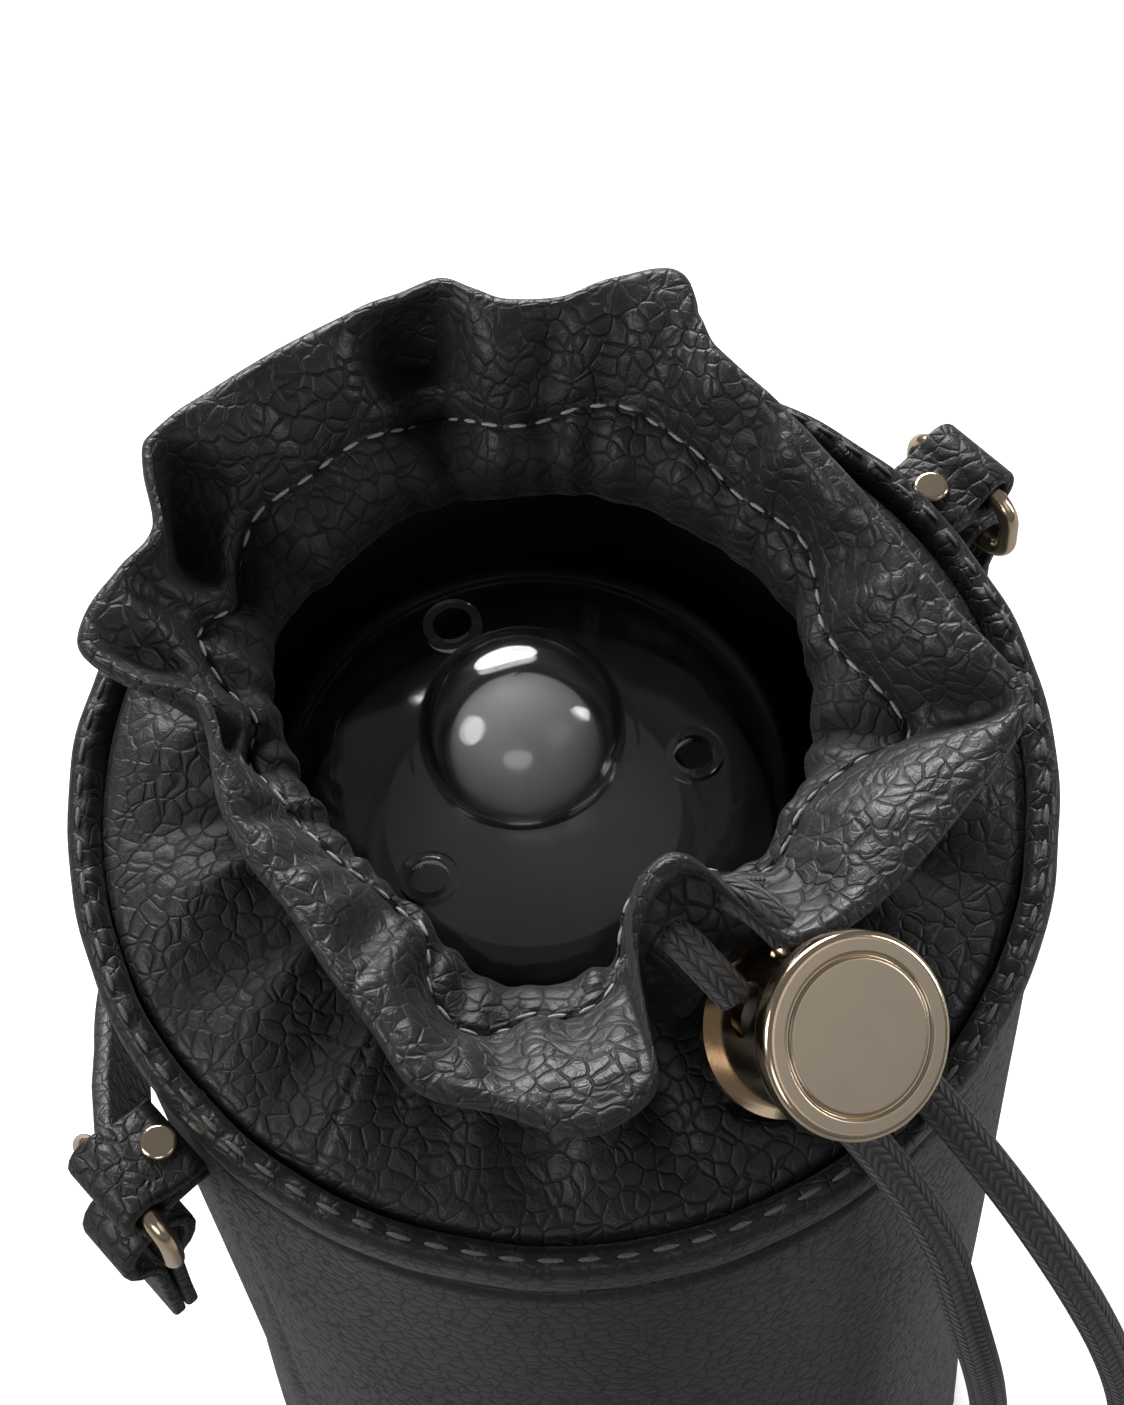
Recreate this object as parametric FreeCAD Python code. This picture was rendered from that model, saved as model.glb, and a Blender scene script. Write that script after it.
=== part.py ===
import FreeCAD, Part
import math
import os
from FreeCAD import Placement, Rotation, Vector

# A drawstring bottle pouch in pebbled leather, with the bottle it carries.
# Millimetres, +Z up. The origin is the centre of the base, on the floor.
# The front, with the spring cord lock, faces -Y. The two tabs with rings are at +X and -X.
# The soft top leans a little to the front left, so the rim, collar, ruffle and cord lock are
# drawn level in a "mouth" frame and then placed by one tilt about the rim's centre.

# ---- body of the pouch
rim_height = 172.0
body_radius = 46.0
body_leather = 1.6
lining_cloth = 0.8
base_leather = 1.8
board_thickness = 2.0
layer_gap = 0.3            # between two sewn or laid layers of soft material
seam_gap = 0.3             # between two panels that meet edge to edge
mouth_lean = 6.8           # degrees
lean_azimuth = -126.0      # degrees, the side that the mouth leans to

# ---- rim band, collar and ruffle, in the mouth frame
band_height = 7.0
band_inner = body_radius - 1.8
band_outer = body_radius + 1.2
band_round = 1.2
collar_drop = 3.2          # collar surface below the top of the band
collar_leather = 1.6
facing_leather = 1.2
mouth_centre = Vector(0, 5.0, 0)  # the mouth is drawn off centre, towards the back
channel_bottom = 0.5
channel_top = 8.2
ruffle_slope = 30.0        # degrees above level
ruffle_radius = body_radius - 4.0

# ---- cord
cord_diameter = 3.8
cord_play = 0.35
knot_radius = 4.3
knot_bite = 0.4            # a knot grips this much of its cord
arc_share = 0.45           # of the shorter run, taken by each bend of a cord

# ---- spring cord lock, in its own frame: origin at the middle of the button's face
lock_face = Vector(-1.0, -40.6, 15.9)
lock_elevation = 54.0
lock_turn = 8.0
button_radius = 9.1
button_thickness = 2.6
button_travel = 1.5
barrel_radius = 7.7
barrel_wall = 1.2
flange_radius = 8.6
flange_thickness = 1.0
running_gap = 0.06
stop_gap = 0.2             # the pressed button stops this far above the barrel
stem_floor = 0.6           # metal of the stem below its cord holes
flange_overlap = 0.2       # the barrel runs this far into the flange
spring_room_gap = 0.4
cord_hole_radius = cord_diameter / 2 + 0.3
cord_spacing = 7.2
cord_depth = 7.4           # cord centres below the button's face
spring_sheet = 0.35        # a dished disc spring under the button's stem
spring_inner = 2.4
spring_outer = barrel_radius - 1.7
spring_seat = 0.05
edge_round = 0.4
pocket_gap = 0.9
pocket_depth = 15.0
pocket_side = 10.2

# ---- side tabs, rings and strap
tab_width = 9.0
tab_leather = 1.4
tab_drop = 5.2             # tunnel centre below the rim
tab_gap = 0.5
tab_reach = 7.2            # tunnel centre outside the rim band
ring_wire = 1.0
ring_play = 0.4
ring_inner_width = 11.0
ring_inner_height = 6.5
ring_corner = 3.0
rivet_shank = 0.9
rivet_head = 1.8
rivet_inset = 0.1
rivet_dome = 0.8
rivet_round = 0.48
rivet_root = 0.2           # the shank runs this far into each head
rivet_seat = 0.05          # between a head or shank and the leather
strap_width = 10.0
strap_leather = 2.2
strap_gap = 1.2
strap_sag = 30.0           # degrees, the band behind the pouch runs downhill to the back
strap_end_angle = 28.0     # degrees of arc given to each straight end
strap_eye_play = 1.8
strap_eye_width = 7.0
strap_eye_leather = 1.5
strap_end_length = 11.0
stud_radius = 1.9
stud_drop = 0.6
strap_tuck = 0.2           # the straight parts aim this far outside the folded ends

# ---- bottle and clear cap
bottle_centre = mouth_centre + Vector(-0.3, -0.4, 0)
bottle_radius = body_radius - 20.0
bottle_wall = 1.3
bottle_shoulder = rim_height - 46.0
bottle_neck_radius = bottle_radius - 6.4
bottle_neck_top = rim_height - 22.0
collar_ring_radius = bottle_radius - 1.7
collar_ring_height = 18.0
ring_overhang = 5.0        # the screw ring stands this far above the neck
bottle_slope = 7.0         # height of the shoulder's cone
ring_bore_step = 2.6       # the ring's opening is narrower than the neck by this
teat_inset = 1.0
teat_lean = 1.5            # the teat's cone draws in by this within the ring
teat_waist = 5.1           # radius of the cone where it meets the ball
teat_waist_drop = 5.6
cap_wall = 1.2
cap_skirt = rim_height - 32.0
cap_shoulder = rim_height - 9.0
cap_deck = rim_height + 2.2
cap_step_radius = 11.0
deck_margin = 2.4          # the sloping deck runs this far outside the vents' circle
deck_fall = 2.0
shoulder_draw = 2.1        # the dome's arc, half way, lies this far inside the skirt
shoulder_rise = 5.8
boss_width = 1.0           # of the raised rim round each vent
vent_azimuths = (75, 195, 315)
bubble_radius = 9.8
bubble_centre = rim_height + 4.4
vent_radius = 1.9
vent_circle = bottle_radius - 10.0
vent_rim = 0.5
teat_wall = 1.4
teat_ball = 7.3
teat_centre = rim_height + 1.0
fit_gap = 0.2

Z = Vector(0, 0, 1)
ORIGIN = Vector(0, 0, 0)
cord_radius = cord_diameter / 2
lining_outer = body_radius - body_leather - layer_gap
lining_inner = lining_outer - lining_cloth
base_top = base_leather + layer_gap + board_thickness
floor_top = base_top + layer_gap + lining_cloth
facing_inner = bottle_radius + 1.2
facing_outer = facing_inner + facing_leather
neck_inner = facing_outer + cord_diameter + 2 * cord_play
neck_outer = neck_inner + collar_leather
channel_radius = (facing_outer + neck_inner) / 2
channel_height = 6.0
big = 200.0

os.makedirs("parts", exist_ok=True)


def turned(azimuth):
    """A unit vector at this azimuth in degrees."""
    angle = math.radians(azimuth)
    return Vector(math.cos(angle), math.sin(angle), 0)


lean_to = turned(lean_azimuth)
mouth = Placement(Vector(0, 0, rim_height), Rotation(Z.cross(lean_to), mouth_lean))
lock_in_mouth = Placement(
    lock_face,
    Rotation(Z, lock_turn).multiply(Rotation(Vector(1, 0, 0), 90 - lock_elevation)),
)
lock = mouth.multiply(lock_in_mouth)


def placed(shape, placement):
    """The shape moved into a frame, with its geometry rewritten there."""
    moved = shape.copy()
    moved.transformShape(placement.toMatrix(), True)
    return moved


def revolved(points, centre=ORIGIN, start=0.0, sweep=360.0):
    """A closed (radius, height) outline turned about the vertical through centre."""
    corners = [Vector(radius, 0, height) for radius, height in points]
    face = Part.Face(Part.makePolygon(corners + corners[:1]))
    face.rotate(ORIGIN, Z, start)
    solid = face.revolve(ORIGIN, Z, sweep)
    solid.translate(centre)
    return solid


def tube(inner, outer, low, high, centre=ORIGIN):
    return revolved([(inner, low), (outer, low), (outer, high), (inner, high)], centre)


def disc(radius, low, high, centre=ORIGIN):
    return Part.makeCylinder(radius, high - low, centre + Vector(0, 0, low))


def block(low, high):
    size = high - low
    return Part.makeBox(size.x, size.y, size.z, low)


def mouth_space(drop):
    """Everything above the leaning plane that lies this far below the rim."""
    return placed(block(Vector(-big, -big, -drop), Vector(big, big, big)), mouth)


def half(shape, side):
    """The front (-1) or back (+1) half of a shape, less half the seam's gap."""
    if side < 0:
        return shape.common(block(Vector(-big, -big, -big), Vector(big, -seam_gap / 2, 2 * big)))
    return shape.common(block(Vector(-big, seam_gap / 2, -big), Vector(big, big, 2 * big)))


def export(shape, node):
    solids = shape.Solids
    result = solids[0] if len(solids) == 1 else Part.makeCompound(solids)
    result.exportStep(f"parts/{node}.step")
    print(f"{node:22s} solids {len(solids)} valid {result.isValid()} volume {result.Volume:.1f}")


# ---- soft body: two side panels, base, board and lining
side_wall = tube(body_radius - body_leather, body_radius, base_leather + layer_gap, rim_height + 30)
side_wall = side_wall.cut(mouth_space(band_height + layer_gap))
export(half(side_wall, -1), "body_front_panel")
export(half(side_wall, 1), "body_back_panel")
export(disc(body_radius, 0, base_leather), "base_panel")
export(disc(lining_inner, base_leather + layer_gap, base_top), "base_board")
lining = disc(lining_outer, base_top + layer_gap, rim_height + 30)
lining = lining.cut(disc(lining_inner, floor_top, rim_height + 40))
export(lining.cut(mouth_space(band_height + layer_gap)), "body_lining")

# ---- folded band round the rim
band = tube(band_inner, band_outer, -band_height, 0)
band = band.makeFillet(band_round, [edge for edge in band.Edges if edge.BoundBox.ZMin > -0.1])
export(placed(band, mouth), "rim_band")


# ---- drawcord, from one side of the lock round the mouth to the other
def cord_solid(name, points, radius=cord_radius):
    """A round cord along straight runs joined by tangent arcs."""
    edges = []
    radii = []
    start_point = points[0]
    for before, corner, after in zip(points, points[1:], points[2:]):
        arrive = corner - before
        leave = after - corner
        turn = arrive.getAngle(leave)
        reach = arc_share * min(arrive.Length, leave.Length)
        bend = reach / math.tan(turn / 2)
        arrive.normalize()
        leave.normalize()
        first = corner - arrive * reach
        last = corner + leave * reach
        inward = leave - arrive
        inward.normalize()
        centre = corner + inward * (reach / math.sin(turn / 2))
        middle = centre - inward * bend
        edges.append(Part.LineSegment(start_point, first).toShape())
        edges.append(Part.Arc(first, middle, last).toShape())
        start_point = last
        radii.append(round(bend, 1))
    edges.append(Part.LineSegment(start_point, points[-1]).toShape())
    path = Part.Wire(edges)
    profile = Part.Wire(Part.makeCircle(radius, points[0], points[1] - points[0]))
    solid = path.makePipeShell([profile], True, True)
    ideal = path.Length * math.pi * radius**2
    print(f"{name} length {path.Length:.1f} radii {radii} volume {solid.Volume:.1f} of {ideal:.1f}")
    return solid


def in_lock(x, y, z=0.0):
    return lock.multVec(Vector(x, y, z - cord_depth))


def in_mouth(x, y, z):
    return mouth.multVec(Vector(x, y, z))


outlet = barrel_radius + layer_gap
hook_run = 8.0             # straight cord between the barrel and its first bend
loop_step = 30             # degrees between the corners of the drawcord's route
corner_radius = channel_radius / math.cos(math.radians(loop_step / 2))
loop_points = [in_lock(cord_spacing / 2, -outlet), in_lock(cord_spacing / 2, outlet + hook_run)]
for azimuth in range(-60, 241, loop_step):
    spot = mouth_centre + turned(azimuth) * corner_radius
    loop_points.append(in_mouth(spot.x, spot.y, channel_height))
loop_points.append(in_lock(-cord_spacing / 2, outlet + hook_run))
loop_points.append(in_lock(-cord_spacing / 2, -outlet))
loop = cord_solid("drawcord_loop", loop_points)
export(loop, "drawcord_loop")
# The leather leaves this much room round the cord where it comes out.
sleeve = cord_solid("drawcord_sleeve", loop_points, cord_radius + cord_play)

# ---- collar and ruffle: outer leather in two halves, and the facing inside the mouth
rise = math.tan(math.radians(ruffle_slope))
skin = facing_leather / math.cos(math.radians(ruffle_slope))
under_facing = channel_top + (ruffle_radius - facing_outer) * rise
facing = revolved(
    [
        (facing_inner, channel_bottom),
        (facing_outer, channel_bottom),
        (facing_outer, channel_top),
        (ruffle_radius, under_facing),
        (ruffle_radius, under_facing + skin),
        (facing_inner, channel_top + skin - facing_leather * rise),
    ],
    mouth_centre,
)


def under_ruffle(radius, depth):
    """Height of a line this far below the facing's underside."""
    return channel_top + (radius - facing_outer) * rise - depth


collar_top = -collar_drop
collar_bottom = collar_top - collar_leather
outer_skin = layer_gap + collar_leather / math.cos(math.radians(ruffle_slope))
neck = revolved(
    [
        (neck_inner, collar_bottom),
        (neck_outer, collar_bottom),
        (neck_outer, under_ruffle(neck_outer, outer_skin)),
        (ruffle_radius, under_ruffle(ruffle_radius, outer_skin)),
        (ruffle_radius, under_ruffle(ruffle_radius, layer_gap)),
        (neck_inner, under_ruffle(neck_inner, layer_gap)),
    ],
    mouth_centre,
)
plate = disc(band_inner - layer_gap, collar_bottom, collar_top)
plate = plate.cut(disc(neck_inner, collar_bottom - 1, collar_top + 1, mouth_centre))
collar = plate.fuse(neck).removeSplitter()

# The ruffle is drawn in round the cord lock: a gap between its two lobes.
pocket = placed(
    Part.makeCylinder(flange_radius + pocket_gap, big, Vector(0, 0, -pocket_depth)),
    lock_in_mouth,
)
slot = block(
    Vector(-pocket_side, -big, channel_bottom),
    Vector(pocket_side, mouth_centre.y - facing_outer - cord_play, big),
)
collar = collar.cut(slot).cut(pocket)
facing = facing.cut(slot).cut(pocket)
export(placed(half(collar, -1), mouth).cut(sleeve), "collar_front_panel")
export(placed(half(collar, 1), mouth), "collar_back_panel")
export(placed(facing, mouth).cut(sleeve), "mouth_facing")

# ---- cord lock: housing with a back flange, sprung button and spring
stem_radius = barrel_radius - barrel_wall - running_gap
stem_end = -(cord_depth + cord_hole_radius + stem_floor)
spring_room = spring_sheet + button_travel + spring_room_gap
bore_end = stem_end - spring_room
back = bore_end - flange_thickness
barrel_end = -(button_thickness + button_travel + stop_gap)
housing = revolved(
    [
        (0, back),
        (flange_radius, back),
        (flange_radius, bore_end - flange_overlap),
        (barrel_radius, bore_end - flange_overlap),
        (barrel_radius, barrel_end),
        (stem_radius + running_gap, barrel_end),
        (stem_radius + running_gap, bore_end),
        (0, bore_end),
    ]
)
button = disc(button_radius, -button_thickness, 0)
button = button.makeFillet(edge_round, [edge for edge in button.Edges if len(edge.Vertexes) == 1])
button = button.fuse(disc(stem_radius, stem_end, -button_thickness))
for side in (-1, 1):
    hole_x = side * cord_spacing / 2
    hole_start = Vector(hole_x, -2 * barrel_radius, -cord_depth)
    hole = Part.makeCylinder(cord_hole_radius, 4 * barrel_radius, hole_start, Vector(0, 1, 0))
    housing = housing.cut(hole)
    # The stem's slot is taller than the hole by the button's travel, so that it clears the cord.
    slot_low = Vector(hole_x - cord_hole_radius, -2 * barrel_radius, -cord_depth - cord_hole_radius)
    slot_high = Vector(
        hole_x + cord_hole_radius, 2 * barrel_radius, -cord_depth + cord_hole_radius + button_travel
    )
    button = button.cut(block(slot_low, slot_high))
spring = revolved(
    [
        (spring_inner, stem_end - spring_sheet - spring_seat),
        (spring_outer, bore_end + spring_seat),
        (spring_outer, bore_end + spring_seat + spring_sheet),
        (spring_inner, stem_end - spring_seat),
    ]
)
export(placed(housing, lock), "lock_housing")
export(placed(button, lock), "lock_button")
export(placed(spring, lock), "lock_spring")


# ---- free cord tails with knots
first_run = 12.0
left_route = [
    in_lock(-cord_spacing / 2, -outlet),
    in_lock(-cord_spacing / 2, -outlet - first_run),
    Vector(-2.6, -58.2, rim_height - 24),
    Vector(-0.4, -60.4, rim_height - 43),
    Vector(2.4, -59.4, rim_height - 63),
    Vector(2.8, -56.6, rim_height - 84),
    Vector(1.2, -55.2, rim_height - 105),
    Vector(-0.8, -56.0, rim_height - 125),
]
right_route = [
    in_lock(cord_spacing / 2, -outlet),
    in_lock(cord_spacing / 2, -outlet - first_run),
    Vector(5.2, -63.4, rim_height - 17),
    Vector(7.4, -69.4, rim_height - 33),
    Vector(9.6, -71.2, rim_height - 52),
    Vector(10.8, -69.2, rim_height - 72),
    Vector(10.4, -66.6, rim_height - 92),
    Vector(11.4, -65.6, rim_height - 112),
    Vector(12.8, -66.4, rim_height - 131),
]
for side, route in (("left", left_route), ("right", right_route)):
    tail = cord_solid(f"cord_{side}", route)
    export(tail, f"cord_{side}")
    direction = route[-1] - route[-2]
    direction.normalize()
    knot = Part.makeSphere(knot_radius, route[-1] + direction * (knot_radius - knot_bite))
    export(knot.cut(tail), f"knot_{side}")


# ---- side tabs with rivets and rings
def rim_level(x):
    """Height of the leaning rim over a point on the X axis."""
    return rim_height - x * lean_to.x * math.tan(math.radians(mouth_lean))


tunnel_radius = ring_wire + ring_play
roll_radius = tunnel_radius + tab_leather
tunnel_x = band_outer + tab_reach
flap = 2 * tab_leather


def along_y(radius, length, x, z):
    return Part.makeCylinder(radius, length, Vector(x, -length / 2, z), Vector(0, 1, 0))


def ring_solid(x, z):
    """A rounded rectangular ring, hanging from its straight top bar."""
    width = ring_inner_width / 2 + ring_wire
    height = ring_inner_height + 2 * ring_wire
    corner = ring_corner
    bar = 2 * (width - corner)
    pieces = [along_y(ring_wire, bar, x, z), along_y(ring_wire, bar, x, z - height)]
    for sign in (-1, 1):
        start_low = Vector(x, sign * width, z - height + corner)
        pieces.append(Part.makeCylinder(ring_wire, height - 2 * corner, start_low, Z))
        for end in (0, 1):
            centre = Vector(x, sign * (width - corner), z - corner - end * (height - 2 * corner))
            profile = Part.Face(
                Part.Wire(Part.makeCircle(ring_wire, centre + Vector(0, sign * corner, 0), Z))
            )
            turn = 90 if end == 0 else -90
            pieces.append(profile.revolve(centre, Vector(1, 0, 0), sign * turn))
    return pieces[0].multiFuse(pieces[1:]).removeSplitter()


def rivet(x, z, y, grip):
    """Domed heads on a shank, upright through a flap of this thickness."""
    shank = disc(rivet_shank, -grip / 2 - rivet_root, grip / 2 + rivet_root)
    top = disc(rivet_head, grip / 2 + rivet_seat, grip / 2 + rivet_dome)
    low = disc(rivet_head, -grip / 2 - rivet_dome, -grip / 2 - rivet_seat)
    crown = (grip + rivet_dome) / 2 + rivet_seat
    top = top.makeFillet(rivet_round, [edge for edge in top.Edges if edge.BoundBox.ZMin > crown])
    low = low.makeFillet(rivet_round, [edge for edge in low.Edges if edge.BoundBox.ZMax < -crown])
    solid = shank.fuse(top).fuse(low)
    solid.translate(Vector(x, y, z))
    return solid


def mirrored(shape, side):
    """The shape as drawn at +X, or its mirror image at -X."""
    if side > 0:
        return shape
    return shape.mirror(ORIGIN, Vector(1, 0, 0))


strap_inner = band_outer + strap_gap
strap_outer = strap_inner + strap_leather
eye_radius = ring_wire + strap_eye_play
end_low = {}
for name, side in (("right", 1), ("left", -1)):
    level = rim_level(side * body_radius)
    tunnel_z = level - tab_drop
    rivet_x = band_outer + tab_gap + rivet_head + rivet_inset
    tab = block(
        Vector(band_outer + tab_gap, -tab_width / 2, tunnel_z - flap / 2),
        Vector(tunnel_x, tab_width / 2, tunnel_z + flap / 2),
    )
    tab = tab.fuse(along_y(roll_radius, tab_width, tunnel_x, tunnel_z))
    tab = tab.cut(along_y(tunnel_radius, 2 * tab_width, tunnel_x, tunnel_z))
    tab = tab.cut(disc(rivet_shank + rivet_seat, -flap, flap, Vector(rivet_x, 0, tunnel_z)))
    export(mirrored(tab, side), f"tab_{name}")
    export(mirrored(rivet(rivet_x, tunnel_z, 0, flap), side), f"tab_rivet_{name}")
    export(mirrored(ring_solid(tunnel_x, tunnel_z), side), f"ring_{name}")
    # The strap's folded end, hanging from the ring's lower bar.
    bar_z = tunnel_z - ring_inner_height - 2 * ring_wire
    eye_z = bar_z - strap_eye_play + layer_gap
    eye_outer = eye_radius + strap_eye_leather
    leg = block(
        Vector(tunnel_x - strap_eye_leather, -strap_eye_width / 2, eye_z - eye_outer - strap_end_length),
        Vector(tunnel_x + strap_eye_leather, strap_eye_width / 2, eye_z),
    )
    end = leg.fuse(along_y(eye_outer, strap_eye_width, tunnel_x, eye_z))
    end = end.cut(along_y(eye_radius, 2 * strap_eye_width, tunnel_x, eye_z))
    stud_z = eye_z - eye_outer - stud_radius - stud_drop
    stud_hole = Part.makeCylinder(
        rivet_shank + rivet_seat, big, Vector(tunnel_x - big / 2, 0, stud_z), Vector(1, 0, 0)
    )
    export(mirrored(end.cut(stud_hole), side), f"strap_end_{name}")
    grip = 2 * strap_eye_leather
    stud = rivet(0, 0, 0, grip)
    stud.rotate(ORIGIN, Vector(0, 1, 0), 90)
    stud.translate(Vector(tunnel_x, 0, stud_z))
    export(mirrored(stud, side), f"strap_stud_{name}")
    end_low[side] = eye_z - eye_outer - strap_end_length / 2
    print(f"ring_{name} hinge", side * tunnel_x, 0, tunnel_z)

# ---- strap: a flat band round the back, lower in the middle, tied to the two folded ends
middle = (strap_inner + strap_outer) / 2
arc_part = revolved(
    [(strap_inner, 0), (strap_outer, 0), (strap_outer, rim_height), (strap_inner, rim_height)],
    ORIGIN,
    strap_end_angle,
    180 - 2 * strap_end_angle,
)
pieces = [arc_part]
for side in (1, -1):
    azimuth = strap_end_angle if side > 0 else 180 - strap_end_angle
    joint = turned(azimuth) * middle
    target = Vector(side * (tunnel_x + strap_tuck), strap_eye_width / 2 + layer_gap, 0)
    run = target - joint
    straight = Part.makeBox(run.Length, strap_leather, rim_height, Vector(0, -strap_leather / 2, 0))
    straight.rotate(ORIGIN, Z, math.degrees(math.atan2(run.y, run.x)))
    straight.translate(joint)
    keep = block(Vector(-big, strap_eye_width / 2 + layer_gap, 0), Vector(big, big, rim_height))
    pieces.append(straight.common(keep))
wall = pieces[0].multiFuse(pieces[1:]).removeSplitter()
mean_level = (end_low[1] + end_low[-1]) / 2
slab = block(Vector(-big, -big, -strap_width / 2), Vector(big, big, strap_width / 2))
roll = math.degrees(math.atan2(end_low[1] - end_low[-1], 2 * tunnel_x))
slab.rotate(ORIGIN, Vector(0, 1, 0), -roll)
slab.rotate(ORIGIN, Vector(1, 0, 0), -strap_sag)
slab.translate(Vector(0, 0, mean_level))
export(wall.common(slab), "strap")

# ---- bottle: body, screw ring, teat and clear cap
foot = floor_top + layer_gap
neck_bore = bottle_neck_radius - bottle_wall
body_outline = [
    (0, foot),
    (bottle_radius, foot),
    (bottle_radius, bottle_shoulder),
    (bottle_neck_radius, bottle_shoulder + bottle_slope),
    (bottle_neck_radius, bottle_neck_top),
    (neck_bore, bottle_neck_top),
    (neck_bore, bottle_shoulder + bottle_slope - 0.8),
    (bottle_radius - bottle_wall, bottle_shoulder - 0.6),
    (bottle_radius - bottle_wall, foot + bottle_wall),
    (0, foot + bottle_wall),
]
export(revolved(body_outline, bottle_centre), "bottle_body")

ring_low = bottle_neck_top - collar_ring_height + ring_overhang
ring_top = ring_low + collar_ring_height
flange_low = bottle_neck_top + fit_gap
flange_top = flange_low + teat_wall
ring_roof = flange_top + fit_gap
mouth_bore = bottle_neck_radius - ring_bore_step
screw_ring = revolved(
    [
        (bottle_neck_radius + fit_gap, ring_low),
        (collar_ring_radius, ring_low),
        (collar_ring_radius, ring_top),
        (mouth_bore + fit_gap, ring_top),
        (mouth_bore + fit_gap, ring_roof),
        (bottle_neck_radius + fit_gap, ring_roof),
    ],
    bottle_centre,
)
export(screw_ring, "bottle_ring")

teat_foot = mouth_bore - teat_inset
teat_bore = teat_waist - teat_wall
teat = revolved(
    [
        (teat_foot - teat_wall, flange_low),
        (bottle_neck_radius - fit_gap, flange_low),
        (bottle_neck_radius - fit_gap, flange_top),
        (teat_foot, flange_top),
        (teat_foot - teat_lean, ring_top + ring_overhang),
        (teat_waist, teat_centre - teat_waist_drop),
        (teat_bore, teat_centre - teat_waist_drop),
        (teat_foot - teat_lean - teat_wall, ring_top + ring_overhang - teat_wall),
    ],
    bottle_centre,
)
ball_centre = bottle_centre + Vector(0, 0, teat_centre)
hollow = Part.makeSphere(teat_ball - teat_wall, ball_centre)
tip = Part.makeSphere(teat_ball, ball_centre).cut(hollow)
tip = tip.cut(disc(teat_bore, teat_centre - 2 * teat_ball, teat_centre, bottle_centre))
teat = teat.fuse(tip)
export(teat, "bottle_teat")


def dome(shrink):
    """The cap's outside, or its inside when it is drawn in by a wall."""
    shoulder = Vector(bottle_radius - shrink, 0, cap_shoulder)
    crown = Vector(cap_step_radius - shrink * 0.3, 0, cap_deck - shrink)
    deck = Vector(vent_circle + deck_margin, 0, cap_deck - deck_fall - shrink)
    bulge = Vector(
        bottle_radius - shoulder_draw - shrink * 0.8, 0, cap_shoulder + shoulder_rise - shrink * 0.6
    )
    low = Vector(bottle_radius - shrink, 0, cap_skirt)
    edges = [
        Part.LineSegment(Vector(0, 0, cap_skirt), low).toShape(),
        Part.LineSegment(low, shoulder).toShape(),
        Part.Arc(shoulder, bulge, deck).toShape(),
        Part.LineSegment(deck, crown).toShape(),
        Part.LineSegment(crown, Vector(0, 0, cap_deck - shrink)).toShape(),
        Part.LineSegment(Vector(0, 0, cap_deck - shrink), Vector(0, 0, cap_skirt)).toShape(),
    ]
    solid = Part.Face(Part.Wire(edges)).revolve(ORIGIN, Z, 360)
    bubble = Part.makeSphere(bubble_radius - shrink, Vector(0, 0, bubble_centre))
    return solid.fuse(bubble)


cap = dome(0).cut(dome(cap_wall)).cut(disc(bottle_radius - cap_wall, cap_skirt - 1, cap_skirt + 1))
for azimuth in vent_azimuths:
    spot = turned(azimuth) * vent_circle
    boss = disc(vent_radius + boss_width, cap_deck - deck_fall - 0.6, cap_deck - 1.6 + vent_rim, spot)
    cap = cap.fuse(boss)
for azimuth in vent_azimuths:
    spot = turned(azimuth) * vent_circle
    cap = cap.cut(disc(vent_radius, cap_deck - 12, cap_deck + 6, spot))
cap.translate(bottle_centre)
export(cap, "bottle_cap")

print("lock axis", lock.Rotation.multVec(Z), "along cords", lock.Rotation.multVec(Vector(0, -1, 0)))
print("lock face", lock.Base)
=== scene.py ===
import math

import bmesh
import bpy
import numpy as np
from mathutils import Euler, Matrix, Vector


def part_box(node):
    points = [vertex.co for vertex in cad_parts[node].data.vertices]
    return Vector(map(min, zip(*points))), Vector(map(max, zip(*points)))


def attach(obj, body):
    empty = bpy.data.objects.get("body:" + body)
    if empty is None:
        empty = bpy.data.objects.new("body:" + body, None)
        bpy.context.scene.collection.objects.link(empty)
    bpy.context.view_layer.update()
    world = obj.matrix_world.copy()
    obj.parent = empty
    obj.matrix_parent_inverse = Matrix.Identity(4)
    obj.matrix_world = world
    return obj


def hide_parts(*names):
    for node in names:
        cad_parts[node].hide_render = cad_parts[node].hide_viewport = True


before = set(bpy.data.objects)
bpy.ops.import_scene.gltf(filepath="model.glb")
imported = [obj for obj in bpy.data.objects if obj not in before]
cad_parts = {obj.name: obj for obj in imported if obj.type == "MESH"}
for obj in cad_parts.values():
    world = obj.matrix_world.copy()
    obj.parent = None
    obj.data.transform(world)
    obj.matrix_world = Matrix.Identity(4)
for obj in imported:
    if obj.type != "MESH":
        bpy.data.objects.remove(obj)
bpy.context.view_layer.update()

# ======== Camera, light and floor
# The pouch stands on a pale sweep of paper and is seen from above its front left.
# One large window-like light stands behind it, and a weaker one at the front right.
def scene_object(name, data):
    """A new object in the scene."""
    made = bpy.data.objects.new(name, data)
    bpy.context.scene.collection.objects.link(made)
    return made


camera_data = bpy.data.cameras.new("camera")
camera_data.lens = 96.78
camera_data.sensor_width = 36.0
camera_data.sensor_fit = "HORIZONTAL"
camera_data.clip_start = 0.01
camera = scene_object("camera", camera_data)
camera.location = (-0.08440, -0.11617, 0.41934)
camera.rotation_euler = Euler([math.radians(a) for a in (31.494, 3.190, -41.592)])
bpy.context.scene.camera = camera
bpy.context.scene.view_settings.view_transform = "Standard"


def area_light(name, place, aim, width, height, power, colour=(1, 1, 1)):
    """A soft oval light that faces a point."""
    data = bpy.data.lights.new(name, "AREA")
    data.shape = "ELLIPSE"
    data.size = width
    data.size_y = height
    data.energy = power
    data.color = colour
    light = scene_object(name, data)
    light.location = place
    light.rotation_euler = (Vector(aim) - Vector(place)).to_track_quat("-Z", "Y").to_euler()


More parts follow.
